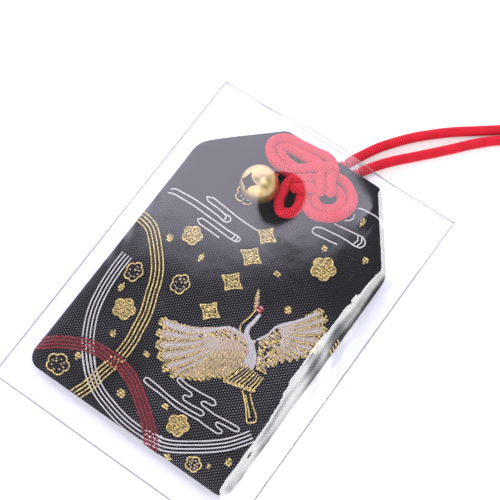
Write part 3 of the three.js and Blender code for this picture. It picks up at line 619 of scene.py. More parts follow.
def braid(route, cord, step=0.16, sides=40, fullness=1.0):
    """A round braid along a route: its mesh and the height of each point between valley and crest."""
    points = spline_through(route, step)
    turn = np.arange(sides) / sides * cord.strands
    advance = distance_along(points) / (cord.cell / MM)
    right_laid = turn[None] + advance[:, None]
    left_laid = turn[None] - advance[:, None]
    over = (np.floor(right_laid) + np.floor(left_laid)) % 2 == 0
    across = np.where(over, left_laid, right_laid) % 1 - 0.5
    lengthwise = np.where(over, right_laid, left_laid) % 1 - 0.5
    crest = np.sqrt(np.maximum(0, 1 - (1.9 * across) ** 2)) * (0.55 + 0.45 * np.cos(2 * np.pi * lengthwise))
    verts, faces = tube_mesh(points, CORD_RADIUS * fullness + (cord.relief / MM) * (crest - 0.62))
    return verts, faces, np.concatenate([crest.ravel(), [0, 0]])


def knot_route(run):
    """Places of a stretch of the knot over the bag."""
    return [(BAG_OFFSET + x, BAG_TOP + y,
             front_middle(BAG_TOP + y) + KNOT_GAP + CORD_RADIUS + layer * CORD_DIAMETER) for x, y, layer in run]


def leg_route(eyelet, leg):
    """A leg of the cord: down through its eyelet and along the back film to the mouth."""
    x, y = eyelet
    top = front_middle(y)
    down = [(x, y, z) for z in (top + KNOT_GAP + CORD_DIAMETER, top, LEG_HEIGHT + CORD_RADIUS)]
    turn = (x, y + CORD_RADIUS, LEG_HEIGHT + CORD_RADIUS / 4)
    return [*down, turn, *[(BAG_OFFSET + dx, BAG_TOP + dy, LEG_HEIGHT) for dx, dy in leg]]


def all_knot_routes():
    """Every stretch of the knot and the two legs."""
    return [knot_route(run) for run in KNOT_RUNS.values()] + [leg_route(*leg) for leg in LEGS]


class CHARM_OT_cords(bpy.types.Operator):
    """Ties the knot and lays the free loop of the cord"""
    bl_idname = "charm.cords"
    bl_label = "Knot and cord loop"

    def execute(self, context):
        cord = context.scene.charm_cord
        material = braided_cord_material(cord)
        loop_points = [(BAG_OFFSET + x, BAG_TOP + y, z) for x, y, z in LOOP_ROUTE]
        ends = [(BAG_OFFSET + leg[-1][0], BAG_TOP + leg[-1][1], LEG_HEIGHT) for _, leg in LEGS]
        verts, faces, crest = braid([ends[0], *loop_points, ends[1]], cord)
        loop = mesh_piece("cord_free_loop", verts, faces, material, attributes={"relief": crest})
        declare(loop, "bag", "cord_loop")
        path = spline_through(loop_points, 1.0) * MM
        braids = [braid(route, cord, 0.18, 36, 1.05) for route in all_knot_routes()]
        verts, faces = joined([(verts, faces) for verts, faces, _ in braids])
        crest = np.concatenate([crest for _, _, crest in braids])
        knot = mesh_piece("tied_knot", verts, faces, material, attributes={"relief": crest})
        declare(knot, "bag", "knot_cord")
        return {"FINISHED"}


def node_piece(name, tree, inputs, points, edges=(), attributes=None):
    """The plain mesh that a geometry tree makes of some points; its inputs are set by identifier."""
    piece = mesh_piece(name, points, [], attributes=attributes, edges=edges)
    modifier = piece.modifiers.new("threads", "NODES")
    modifier.node_group = tree
    for socket in tree.interface.items_tree:
        if socket.in_out == "INPUT" and socket.name in inputs:
            modifier[socket.identifier] = inputs[socket.name]
    return make_plain(piece)


def new_thread_tree(name, sizes):
    """An empty geometry tree with its sizes and a material as inputs."""
    tree = bpy.data.node_groups.new(name, "GeometryNodeTree")
    tree.interface.new_socket("Geometry", in_out="INPUT", socket_type="NodeSocketGeometry")
    for label, default in sizes.items():
        tree.interface.new_socket(label, in_out="INPUT", socket_type="NodeSocketFloat").default_value = default
    tree.interface.new_socket("Material", in_out="INPUT", socket_type="NodeSocketMaterial")
    tree.interface.new_socket("Geometry", in_out="OUTPUT", socket_type="NodeSocketGeometry")
    return tree, add_node(tree, "NodeGroupInput").outputs


def end_thread_tree(tree, given, threads):
    """Ends a tree: real threads with a smooth face and their material."""
    smoothed = add_node(tree, "GeometryNodeSetShadeSmooth", [threads])
    real = add_node(tree, "GeometryNodeRealizeInstances", [smoothed])
    finish = add_node(tree, "GeometryNodeSetMaterial", {"Geometry": real, "Material": given["Material"]})
    add_node(tree, "NodeGroupOutput", [finish])
    return tree


# ---------------------------------------------------------------- threads made by geometry nodes
def float_tree():
    """Weft floats: a short swollen thread on every point, turned and stretched by its attributes."""
    tree, given = new_thread_tree("Weft floats", {"Thread width": 0.0003, "Thread height": 0.0002})
    rod = add_node(tree, "GeometryNodeMeshCylinder", {
        "Vertices": 6, "Side Segments": 3, "Radius": 0.5, "Depth": 1.0}, fill_type="TRIANGLE_FAN")
    place = add_node(tree, "GeometryNodeInputPosition")
    height = add_node(tree, "SeparateXYZ", [place]).outputs["Z"]
    away = add_node(tree, "Math", [height], operation="ABSOLUTE")
    bent = add_node(tree, "Math", (away, 3), operation="POWER")
    lost = add_node(tree, "Math", (bent, 4.2), operation="MULTIPLY")
    kept = add_node(tree, "Math", (1.0, lost), operation="SUBTRACT")
    taper = add_node(tree, "CombineXYZ", (kept, kept, 1.0))
    swollen = add_node(tree, "VectorMath", (place, taper), operation="MULTIPLY")
    shaped = add_node(tree, "GeometryNodeSetPosition", {"Geometry": rod, "Position": swollen})
    turn = add_node(tree, "GeometryNodeInputNamedAttribute", ["turn"], data_type="FLOAT_VECTOR")
    span = add_node(tree, "GeometryNodeInputNamedAttribute", ["span"], data_type="FLOAT")
    rotation = add_node(tree, "FunctionNodeEulerToRotation", [turn])
    scale = add_node(tree, "CombineXYZ", (given["Thread width"], given["Thread height"], span))
    laid = add_node(tree, "GeometryNodeInstanceOnPoints", {
        "Points": given["Geometry"], "Instance": shaped, "Rotation": rotation, "Scale": scale})
    return end_thread_tree(tree, given, laid)


def twist_tree():
    """Twisted thread: a lobed section swept along an edge line, turning as it goes."""
    tree, given = new_thread_tree("Twisted thread", {"Diameter": 0.0005, "Turns per metre": 900.0, "Step": 0.0001})
    line = add_node(tree, "GeometryNodeMeshToCurve", [given["Geometry"]])
    even = add_node(tree, "GeometryNodeResampleCurve", {"Curve": line, "Length": given["Step"]}, mode="LENGTH")
    travelled = add_node(tree, "GeometryNodeSplineParameter").outputs["Length"]
    turns = add_node(tree, "Math", (travelled, given["Turns per metre"]), operation="MULTIPLY")
    angle = add_node(tree, "Math", (turns, 2 * math.pi), operation="MULTIPLY")
    tilted = add_node(tree, "GeometryNodeSetCurveTilt", {"Curve": even, "Tilt": angle})
    radius = add_node(tree, "Math", (given["Diameter"], 0.43), operation="MULTIPLY")
    ring = add_node(tree, "GeometryNodeCurvePrimitiveCircle", {"Resolution": 12, "Radius": radius})
    index = add_node(tree, "GeometryNodeInputIndex")
    phase = add_node(tree, "Math", (index, math.pi / 2), operation="MULTIPLY")
    wave = add_node(tree, "Math", [phase], operation="COSINE")
    lobe = add_node(tree, "Math", (wave, 0.16, 1.0), operation="MULTIPLY_ADD")
    place = add_node(tree, "GeometryNodeInputPosition")
    lobed = add_node(tree, "VectorMath", (place, lobe), operation="SCALE")
    section = add_node(tree, "GeometryNodeSetPosition", {"Geometry": ring, "Position": lobed})
    swept = add_node(tree, "GeometryNodeCurveToMesh", {"Curve": tilted, "Profile Curve": section, "Fill Caps": True})
    return end_thread_tree(tree, given, swept)


def thread_piece(name, lines, material, diameter, turns):
    """Twisted threads along lines of points, as one plain mesh."""
    tree = bpy.data.node_groups.get("Twisted thread") or twist_tree()
    edges, start = [], 0
    for line in lines:
        edges += [(start + i, start + i + 1) for i in range(len(line) - 1)]
        start += len(line)
    return node_piece(name, tree, {
        "Diameter": diameter * MM, "Turns per metre": turns, "Step": THREAD_STEP * MM, "Material": material},
        np.vstack(lines), edges)


# ---------------------------------------------------------------- the weaver's drawing
GOLD, SILK, CREAM, RED, DARK_RED, FINE_GOLD = 1, 2, 3, 4, 5, 6
PAPER_LEFT, PAPER_BOTTOM, PAPER_STEP = -31, -42, 0.1
CURVE_STEP = 0.25


class PointPaper:
    """The weaver's drawing: a thread colour for each tenth of a millimetre of a panel."""

    def __init__(self, couched=None):
        self.couched = couched
        self.x = np.arange(PAPER_LEFT, -PAPER_LEFT, PAPER_STEP)
        self.y = np.arange(PAPER_BOTTOM, -PAPER_BOTTOM, PAPER_STEP)
        self.cells = np.zeros((len(self.y), len(self.x)), np.int8)

    def window(self, points, reach):
        """The part of the paper round some points, and the places of its squares."""
        corners = np.min(points, axis=0) - reach, np.max(points, axis=0) + reach
        first, last = (((corner - (PAPER_LEFT, PAPER_BOTTOM)) / PAPER_STEP).astype(int) for corner in corners)
        first, last = np.maximum(first, 0), np.maximum(last + 2, 0)
        part = slice(first[1], last[1]), slice(first[0], last[0])
        return part, *np.meshgrid(self.x[part[1]], self.y[part[0]])

    def paint(self, part, mask, thread, mixed):
        """Colours a part of the paper; mixed threads take every second square where others lie."""
        cells = self.cells[part]
        if mixed:
            rows, columns = (np.arange(side)[cut] // size for side, cut, size in zip(self.cells.shape, part, (6, 5)))
            mask = mask & ((cells == 0) | ((rows[:, None] + columns) % 2 == 0))
        cells[mask] = thread

    def speckle(self, outline, thread, share, seed):
        """Scatters short threads of a colour over what is drawn inside an outline."""
        rng = np.random.default_rng(seed)
        outline = np.asarray(outline, float)
        low, high = outline.min(axis=0), outline.max(axis=0)
        for _ in range(int(share * np.prod(high - low))):
            x, y = rng.uniform(low, high)
            turns = np.arctan2(outline[:, 1] - y, outline[:, 0] - x)
            inside = abs(np.diff(np.unwrap(np.append(turns, turns[0]))).sum()) > 3
            if inside:
                reach = rng.uniform(0.25, 0.55)
                self.stroke([(x - reach / 2, y), (x + reach / 2, y)], 0.3, thread)

    def stroke(self, points, width, thread, mixed=False, end_width=None):
        """Draws a line of a width that may change evenly towards its end."""
        points = np.asarray(points, float)
        widths = np.linspace(width, width if end_width is None else end_width, len(points))
        for start, end, thick in zip(points, points[1:], widths):
            part, x, y = self.window([start, end], thick)
            step = end - start
            share = np.clip(((x - start[0]) * step[0] + (y - start[1]) * step[1]) / max(step @ step, 1e-9), 0, 1)
            distance = np.hypot(x - start[0] - share * step[0], y - start[1] - share * step[1])
            self.paint(part, distance <= thick / 2, thread, mixed)

    def lay(self, points, width, thread):
        """Draws a line; where the panel has couched threads it becomes one on top of the cloth."""
        if self.couched is None:
            self.stroke(points, width, thread)
        else:
            self.couched.setdefault(thread, []).append(np.asarray(points, float))

    def curve(self, points, width, thread, end_width=None):
        """Draws a smooth line through points."""
        self.stroke(spline_through(points, CURVE_STEP), width, thread, False, end_width)

    def fill(self, outline, thread):
        """Fills a closed outline."""
        outline = np.asarray(outline, float)
        part, x, y = self.window(outline, 0.2)
        inside = np.zeros(x.shape, bool)
        for (ax, ay), (bx, by) in zip(outline, np.roll(outline, -1, axis=0)):
            if ay != by:
                crosses = (y > min(ay, by)) & (y <= max(ay, by))
                inside ^= crosses & (x < ax + (y - ay) * (bx - ax) / (by - ay))
        self.paint(part, inside, thread, False)

    def look_up(self, x, y):
        """Thread colours at places of the panel."""
        column, row = (np.clip(((place - start) / PAPER_STEP).round().astype(int), 0, len(squares) - 1)
                       for place, start, squares in ((x, PAPER_LEFT, self.x), (y, PAPER_BOTTOM, self.y)))
        return self.cells[row, column]


def petal_ring(centre, width, height, dent=0.2, turn=0.0, lobes=5):
    """Outline of a blossom with round petals, one of them upwards."""
    angle = np.linspace(0, 2 * np.pi, 60, endpoint=False)
    reach = 1 - dent * (1 - np.abs(np.sin(lobes * (angle - turn) / 2)) ** 0.7)
    spin = angle + np.pi / 2 - np.pi / lobes + turn
    return np.stack([centre[0] + reach * np.cos(spin) * width / 2, centre[1] + reach * np.sin(spin) * height / 2], 1)


def draw_dot(paper, place, half_length, width, thread):
    """A short thread that reads as a dot."""
    paper.stroke([place - (half_length, 0), place + (half_length, 0)], width, thread)


def draw_full_blossom(paper, centre, radius):
    """A filled plum blossom, with its outline and five short spokes drawn over it."""
    ring = petal_ring(centre, 1.9 * radius, 1.9 * radius, 0.3)
    paper.fill(ring, GOLD)
    paper.lay(np.vstack([ring, ring[:1]]), 0.3, GOLD)
    for spoke in range(5):
        angle = math.pi / 2 + (spoke + 0.5) * 2 * math.pi / 5
        reach = np.array([math.cos(angle), math.sin(angle)]) * radius
        paper.lay([np.array(centre) + reach * share for share in (0.1, 0.3, 0.55)], 0.3, GOLD)


def draw_open_blossom(paper, centre, width, height):
    """An outlined plum blossom with a ring of dots inside."""
    ring = petal_ring(centre, width, height, 0.24)
    paper.lay(np.vstack([ring, ring[:1]]), 0.4, GOLD)
    for count, share, thread in ((5, 0.13, GOLD), (8, 0.27, CREAM)):
        for spoke in range(count):
            angle = math.pi / 2 + spoke * 2 * math.pi / count
            place = np.array(centre) + np.array([math.cos(angle) * width, math.sin(angle) * height]) * share
            draw_dot(paper, place, 0.15, 0.26, thread)


def draw_petal(paper, x, y, width, height):
    """A small scattered petal of two lobes."""
    paper.fill(petal_ring((x, y), width, height, 0.18, 0.4, 2), GOLD)
    paper.fill(petal_ring((x, y), width * 0.8, height * 0.9, 0.1, 0.9, 3), GOLD)


def draw_lozenge(paper, x, y, width, height):
    """A flower lozenge: four full petals in a diamond."""
    corners = np.array([(x - width / 2, y), (x, y + height / 2), (x + width / 2, y), (x, y - height / 2)])
    middle = np.array([x, y])
    for corner, following in zip(corners, np.roll(corners, -1, axis=0)):
        notch = (corner + following) / 2 * 0.8 + middle * 0.2
        edge = [corner * 0.97 + middle * 0.03, notch, following * 0.97 + middle * 0.03]
        paper.lay(spline_through(edge, CURVE_STEP), 0.42, GOLD)
        draw_dot(paper, (corner + following) / 2 * 0.5 + middle * 0.5, 0.2, 0.4, GOLD)
    for corner in corners:
        tip, root = corner * 0.66 + middle * 0.34, corner * 0.16 + middle * 0.84
        paper.stroke([root, (root + tip) / 2, tip], 1.15, GOLD, end_width=0.8)


RIBBON_REACH = 1.6


def draw_ribbon(paper, centre_line, pitch, lines, line_width, thread, mixed=True, under=None):
    """Several even lines side by side along a centre line, couched but for where they pass under another."""
    points = spline_through(centre_line, 0.3)
    along = unit(np.gradient(points, axis=0))
    normal = np.stack([-along[:, 1], along[:, 0]], axis=1)
    for line in range(lines):
        course = points + normal * ((line - (lines - 1) / 2) * pitch)
        if under is None:
            paper.stroke(course, line_width, thread, mixed)
            continue
        covered = np.min(np.linalg.norm(course[:, None] - under[None], axis=-1), axis=1) < RIBBON_REACH
        for part in np.split(np.arange(len(course)), np.flatnonzero(np.diff(covered)) + 1):
            if covered[part[0]]:
                paper.stroke(course[part], line_width, thread, mixed)
            elif len(part) > 1:
                paper.lay(course[part], line_width, thread)


def cloud_lines():
    """The mist clouds, each one long thread line that doubles back."""
    return [
        [(-1.27, 15.1), (-5, 15.1), (-7.6, 15.2), (-11.4, 15.6), (-14.5, 15.9), (-16, 15.3), (-15.1, 14.6),
         (-12.4, 14.5), (-10.3, 14.2), (-9.5, 13.8), (-9.6, 13.0)],
        [(-10.3, 14.2), (-8.9, 14.4), (-8.25, 13.7), (-8.7, 12.9), (-9.5, 12.7), (-11, 13), (-13.5, 13.2),
         (-16.6, 13.3), (-18.7, 13.3), (-20.8, 13.1), (-22.6, 13), (-23.6, 12.35)],
        [(-23.6, 11.3), (-22, 11.8), (-19.7, 11.9), (-17, 12), (-13.7, 11.8), (-10.75, 11.7), (-7.2, 11.5),
         (-5.1, 11.6), (-4.1, 11.5), (-3.9, 10.9), (-4.5, 10.3), (-6.2, 10.2), (-9.1, 10.4), (-12, 10.6),
         (-13.7, 10.65), (-14.5, 9.85), (-13.5, 9.2), (-11.4, 9.2), (-8, 9.05)],
        [(-5.6, 11.5), (-5.4, 10.9), (-5.6, 10.4)],
        [(-4.8, 11.6), (-4.6, 10.9), (-4.75, 10.3)],
        [(12.8, 31.7), (14, 32.1), (17, 32.3), (18.5, 32), (19.7, 30.9)],
        [(13, 30.05), (13.4, 29.1), (12.9, 28.2), (12.1, 27.7)],
        [(10.6, 25.8), (13.8, 26.2), (16.1, 26.5), (17.5, 26.7), (18.6, 26.1), (18.9, 25.2), (18.4, 24.25),
         (17.2, 24), (15.2, 24.1), (12.9, 24), (10.6, 23.7), (9, 23.5), (7.9, 23), (7.5, 22.2), (7.9, 21.5),
         (8.6, 21.4), (10.6, 21.7), (12.9, 22), (13.9, 22.2)],
        [(16.4, 26.5), (17.1, 25.4), (16.7, 24.1)],
        [(17.3, 26.6), (18, 25.5), (17.6, 24.1)],
        [(3.9, -21.1), (6, -21.4), (9.5, -21.2), (12.8, -20.8), (13.6, -21.5), (13, -22.1), (11.2, -22.2),
         (10.65, -22.75), (11.2, -23.2), (14.7, -23.3), (17.8, -22.9), (20.3, -22.7), (20.9, -23.3),
         (20.1, -23.8), (17.8, -24), (16, -24.3), (15.85, -24.8), (16.6, -25.15), (17.9, -25.15),
         (18.1, -25.7), (17.4, -26.25), (14.7, -26.3), (12.4, -26.2), (9.5, -26.5), (7, -26.7),
         (4.3, -26.4), (2.2, -26.25), (-0.3, -26.2), (-2, -26), (-2.1, -25.15), (-1.3, -24.9), (1.2, -25.1),
         (4.3, -25.5), (7, -25.6), (9.9, -25.5), (12.4, -25.25), (12.8, -24.5), (12, -24.1), (9.5, -24.4),
         (7.4, -24.5), (6.8, -24), (7, -23.4), (8, -23.3), (8.35, -22.75), (7.8, -22.3), (5.3, -22.3),
         (3.9, -22), (3.6, -21.5), (3.9, -21.1)],
    ]


def draw_ribbons(paper):
    """The three flowing ribbons, with gold, white and red threads."""
    white = [(-22.1, -5.5), (-22.1, -9.2), (-21.5, -15), (-20.2, -20), (-17.6, -25), (-15.3, -28), (-12.5, -30.7),
             (-8.7, -33), (-5, -34.2), (0, -35.2), (5, -35.3), (10, -34.4), (15, -31.4), (20, -27.4),
             (22.3, -24.6), (23.6, -22.6)]
    gold = [(-26.5, 3.4), (-23.6, 3.2), (-21.6, 2.55), (-19.6, 1), (-17.1, -1.5), (-14.8, -4.2), (-13.2, -7.1),
            (-12.4, -9.3), (-10.65, -13.7), (-9.9, -17.6), (-9.4, -20.7), (-9.4, -24.4), (-9.9, -27.75),
            (-10.35, -29.8), (-10.55, -31.8), (-11.05, -34), (-12.05, -36.7), (-12.9, -39.5)]
    red = [(-28.5, -34.2), (-24.8, -31.7), (-22, -29.4), (-19.3, -27.9), (-16.6, -26.6), (-13.7, -26),
           (-10.5, -25.9), (-8, -26), (-5, -26.8), (-2.5, -28), (0, -29.7), (3, -31.7), (5, -33.3), (7, -35.4),
           (8.2, -37), (9.6, -39.5)]
    over = spline_through(red, 0.3)
    draw_ribbon(paper, white, 0.8, 4, 0.34, SILK, under=over)
    draw_ribbon(paper, gold, 0.84, 4, 0.64, GOLD, under=over)
    draw_ribbon(paper, red, 0.001, 2, 2.9, DARK_RED)
    draw_ribbon(paper, red, 0.8, 4, 0.3, RED, mixed=False)
    for part in (white[5:7], white[10:12]):
        draw_ribbon(paper, part, 0.8, 4, 0.3, SILK)


LEFT_WING_TIPS = [
    (-6.3, -13.3), (-5.3, -15.5), (-3.8, -17.6), (-2, -19.4), (0.2, -20.8), (2.4, -21.2), (4.1, -20.4),
    (5.5, -19.8), (6.6, -19.2), (7.7, -18.5), (8.7, -17.5), (9.5, -16.6), (10.5, -15.9), (11.5, -15.2),
    (12.5, -14.2), (13.4, -13.3),
]
LEFT_WING_ROOTS = [
    (4.6, -7.6), (4.9, -8.2), (5.3, -8.7), (5.7, -9.0), (6.1, -9.1), (6.6, -8.9), (7.0, -8.3), (7.4, -7.8),
    (7.9, -7.4), (8.4, -7.1), (9.0, -6.9), (9.6, -6.8), (10.2, -6.8), (10.8, -6.9), (11.4, -7.2), (12, -7.7),
]
RIGHT_WING_TIPS = [
    (19.7, 7.45), (21.3, 6.6), (22.3, 4.5), (22.8, 2), (23.1, -0.25), (22.3, -2.1), (21.4, -3.6), (20.3, -4.6),
    (18.9, -5.7), (18, -7.2),
]
RIGHT_WING_ROOTS = [
    (14.6, -0.2), (15, -0.4), (15.4, -0.8), (15.7, -1.3), (15.9, -1.9), (16, -2.5), (16, -3.1), (15.9, -3.8),
    (15.7, -4.6), (15.5, -5.6),
]


def feather_line(root, tip, bend, first, last):
    """A feather's middle line between two shares of its length."""
    root, tip = np.array(root), np.array(tip)
    across = np.array([-(tip - root)[1], (tip - root)[0]]) * bend
    points = spline_through([root, (root + tip) / 2 + across, tip], CURVE_STEP)
    return points[int(len(points) * first):max(int(len(points) * last), 2)]


def draw_wing(paper, roots, tips, bend, long_feathers):
    """A spread wing: cream feathers parted by fine gold lines, the long ones by dark gaps."""
    roots, tips = np.array(roots), np.array(tips)
    root_spaces, spaces = (np.linalg.norm(np.diff(ends, axis=0), axis=1) for ends in (roots, tips))
    for index, (root, tip) in enumerate(zip(roots, tips)):
        long = index < long_feathers
        following = min(index, len(spaces) - 1)
        wide = min(spaces[max(index - 1, 0)], spaces[following]) * (0.95 if long else 1.1)
        narrow = root_spaces[following] * 1.5
        paper.stroke(feather_line(root, tip, bend, 0.55, 1), wide * 0.7, GOLD, end_width=wide)
        paper.stroke(feather_line(root, tip, bend, 0, 0.96), narrow, CREAM, end_width=wide - 0.45)
        if long:
            paper.stroke(feather_line(root, tip, bend, 0, 0.93), narrow * 0.3, SILK, end_width=wide * 0.25)
    for index, (root, tip) in enumerate(zip((roots[:-1] + roots[1:]) / 2, (tips[:-1] + tips[1:]) / 2)):
        paper.lay(feather_line(root, tip, bend, 0.3, 1), 0.3, FINE_GOLD)
        if index < long_feathers:
            paper.stroke(feather_line(root, tip, bend, 0.6, 1), 0.16, 0, end_width=0.36)


def draw_crane(paper):
    """The flying crane."""
    draw_wing(paper, RIGHT_WING_ROOTS, RIGHT_WING_TIPS, -0.04, 7)
    draw_wing(paper, LEFT_WING_ROOTS, LEFT_WING_TIPS, 0.07, 6)
    shoulder = [(12.9, -5.2), (13.5, -3), (14.2, -1.2), (15.4, -0.9), (16.4, -2.4), (17.2, -4.6), (17.8, -6.6),
                (17.8, -8.2), (18, -10.4), (16, -10.8), (14.6, -8)]
    arm = [(12.4, -5.4), (8.7, -6), (6, -6.2), (4.7, -7.1), (3.25, -8.8), (3.6, -9.9), (7, -8.2), (12, -8)]
    under_edge = [(11.6, -6.4), (8.7, -6.6), (6, -6.8), (4.9, -7.6), (3.4, -9.2), (1.4, -11), (2.4, -11.6),
                  (4.6, -9.8), (6.4, -8.6), (9, -7.9), (12, -8.6)]
    paper.fill(shoulder, CREAM)
    paper.fill(arm, CREAM)
    paper.speckle(shoulder, 0, 1.2, 3)
    paper.speckle(shoulder, GOLD, 4, 4)
    paper.speckle(under_edge, GOLD, 3, 5)
    paper.curve([(11.6, -5.9), (8.7, -6), (6, -6.2), (4.7, -7.1), (3.25, -8.8), (1.2, -10.7), (-0.95, -12.1),
                 (-3.5, -12.9), (-6, -13)], 0.62, SILK, end_width=0.45)
    paper.curve([(12.4, -5), (13.5, -3), (13.9, -0.9), (15.1, 1), (16.6, 2.7), (17.8, 4.3), (18.9, 6.4)], 0.6, SILK)
    paper.fill([(13, -12), (15.5, -10.4), (18.5, -10.5), (18.7, -12.6), (18.4, -14.8), (16.8, -16.4), (15.2, -17),
                (13.4, -17.3), (12, -16)], 0)
    for plume in range(8):
        share = plume / 7
        top = np.array([13.9 + 4.3 * share, -10.9 - 0.3 * share])
        end = np.array([12.1 + 5.9 * share, -16.2 + 1.5 * share])
        draw, thread = (paper.stroke, CREAM) if plume % 4 == 1 else (paper.lay, GOLD)
        draw([top, (top + end) / 2 + (0.15, 0), end], 0.27, thread)
        paper.lay(end + [(-0.45, 0.35), (-0.2, -0.25), (0.25, -0.3), (0.45, 0.35)], 0.46, GOLD)
    for leg in ([(16.3, -15.9), (17.6, -17.0), (19.2, -18.6), (20.3, -19.9), (21.1, -20.8), (21.9, -20.6)],
                [(18, -15.5), (19.3, -16.7), (20.7, -17.8), (22, -18.8), (22.4, -19.8), (21.5, -20.6)],
                [(17.4, -16.2), (18.8, -17.6), (20.1, -18.8), (21, -19.8)]):
        paper.lay(spline_through(leg, CURVE_STEP), 0.42, GOLD)
    paper.fill([(12.6, -7.3), (13.8, -7.4), (15.2, -9.4), (15.5, -10.9), (14.9, -11.3), (14.5, -10.7),
                (13.9, -11.7), (13.4, -10.9), (12.7, -11.3), (12.5, -9.4)], SILK)
    paper.curve([(9.5, -0.3), (9.4, -2.3), (9.2, -4), (9.8, -5.4), (11.3, -6.4), (12.9, -7.5), (14, -8.8)],
                0.75, SILK, end_width=1.5)
    throat = [(8.25, 0), (8.1, -1.9), (7.7, -3.6), (7.6, -4.6), (8.35, -5.7)]
    paper.lay(spline_through(throat, CURVE_STEP), 0.34, GOLD)
    paper.curve([(6.1, 4.1), (7.4, 1.6), (8.2, 0.5)], 0.55, GOLD, end_width=1.3)
    paper.curve([(6.6, 3.2), (7.4, 1.7), (8.2, 0.6)], 0.25, CREAM, end_width=0.7)
    paper.fill(petal_ring((8.8, 0.75), 1.8, 1.7, 0.05), RED)
    for mark in ([(8.3, 0.45), (9.1, 0.5)], [(8.5, 1.1), (9.2, 1.15)]):
        paper.stroke(mark, 0.2, SILK)


def front_drawing():
    """Everything that is woven into the front panel, where it lies in a plane at the drawing height."""
    paper = PointPaper({SILK: cloud_lines()})
    draw_ribbons(paper)
    for x, y, radius in ((-13.15, 6.2, 2.35), (14.7, 15.9, 2.85), (-15.1, -15.6, 2.6), (9.7, -29.5, 2.5)):
        draw_full_blossom(paper, (x, y), radius)
    for x, y, width, height in ((-8.56, -4.3, 4.0, 4.7), (-18.5, -7.75, 3.8, 4.7), (-19.2, -33.4, 5.2, 4.6),
                                (17.2, -34.2, 3.4, 3.2), (-9, 20.6, 5, 4.6)):
        draw_open_blossom(paper, (x, y), width, height)
    for petal in ((-16.9, 3, 1.7, 1.9), (-8.5, 3.1, 1.3, 1.9), (7.2, 9.4, 1.7, 1.6), (13.9, 4, 1.7, 1.7),
                  (12.2, 19.85, 1.4, 1.6), (21, 22.6, 1.5, 1.6), (15.6, 29.5, 1.3, 2), (-18.6, -12.1, 1.35, 2),
                  (-13.7, -21.4, 1.7, 1.5), (-5, -21, 1.6, 1.6), (-16.8, -29.5, 1.6, 1.8), (-4.2, -30.9, 2.1, 1.9),
                  (5.1, -27.75, 1.7, 1.7), (22.9, -29.8, 1.5, 1.9), (20, -32.65, 1, 1.3), (12, -36, 2.1, 0.9)):
        draw_petal(paper, *petal)
    for y, size in ((15.2, 0.9), (9.4, 1.0), (2.4, 1.0), (-5.6, 0.95)):
        draw_lozenge(paper, 0.3, y, 5.6 * size, 5.0 * size)
    draw_crane(paper)
    return paper


def back_drawing():
    """The sparse repeat of petals and blossoms on the back panel."""
    paper = PointPaper()
    for row in range(8):
        for column in range(6):
            x = -21.5 + column * 9.2 + (row % 2) * 4.6 - 2
            y = -32 + row * 9.4
            if (row + column) % 2:
                draw_full_blossom(paper, (x, y), 1.8)
            else:
                draw_open_blossom(paper, (x, y), 3.8, 3.8)
            draw_petal(paper, x + 4.3, y + 3.9, 1.4, 1.5)
    return paper


def seen_place(places):
    """Where places on the bag fall in the drawing's plane, along the camera's view."""
    lift = (places[..., 2:] - DRAWING_HEIGHT) / (CAMERA_PLACE[2] - DRAWING_HEIGHT)
    seen = (places[..., :2] - lift * CAMERA_PLACE[:2]) / (1 - lift)
    return seen[..., 0], seen[..., 1]


def laid_line(line, lift):
    """A drawn line laid on the front panel, where the camera sees it in the drawing."""
    line = np.asarray(line, float)
    along = distance_along(line)
    stations = np.linspace(0, along[-1], int(along[-1] / THREAD_STEP) + 2)
    drawn = np.stack([np.interp(stations, along, axis) for axis in line.T], axis=1)
    drawn[1:-1] = (drawn[:-2] + drawn[1:-1] + drawn[2:]) / 3
    x, y = drawn.T
    for _ in range(5):
        share = (front_height(x, y)[0] - DRAWING_HEIGHT) / (CAMERA_PLACE[2] - DRAWING_HEIGHT)
        x, y = (drawn + share[:, None] * (CAMERA_PLACE[:2] - drawn)).T
    height, inset = front_height(x, y)
    return np.stack([x, y, height + lift], axis=1)[inset > 0.1]


def back_section():
    """The back panel's side as flat distance, inset and depth share, from the seam downwards."""
    line = spline_through([(0.99, 0.03, 0), (0.5, 0.3, 0), (0.4, 0.55, 0), (0.99, 0.87, 0), (2.31, 1, 0)], 0.05)
    inset = np.append(line[:, 0], LEVEL_INSET)
    share = np.append(np.minimum(line[:, 1], 1), 1)
    return section_flats(inset, share, BACK_HEIGHT), inset, share


BACK_SECTION = back_section()


def back_surface(flat_x, flat_y):
    """Places on the back panel for points of the flat cloth."""
    x, y, _, share, flat, inward = placed_on(BACK_SECTION, flat_x, flat_y)
    return np.stack([x, y, seam_line(y) - back_drop(y) * share], axis=-1), flat, inward


def cut_floats(threads, columns, rows, longest):
    """Cuts rows of thread colours into floats: for each colour their middles, rows and lengths."""
    rng = np.random.default_rng(7)
    found = {}
    for row, line in enumerate(threads):
        edges = np.flatnonzero(np.diff(line)) + 1
        # Each row is shifted by a third, so that the dips into the cloth lie on diagonals
        shift = (row % 3) * longest / 3
        for start, end in zip([0, *edges], [*edges, len(line)]):
            thread = int(line[start])
            left, right = columns[start] - PAPER_STEP / 2, columns[end - 1] + PAPER_STEP / 2
            if not thread or right - left < 0.15:
                continue
            cuts = np.arange(math.ceil((left + shift) / longest), math.floor((right + shift) / longest) + 1)
            dips = [cut * longest - shift for cut in cuts]
            marks = [left, *[dip for dip in dips if left + 0.25 < dip < right - 0.25], right]
            for a, b in zip(marks, marks[1:]):
                found.setdefault(thread, []).append(((a + b) / 2, rows[row], max(b - a, 0.3) * rng.uniform(0.94, 1.06)))
    return found


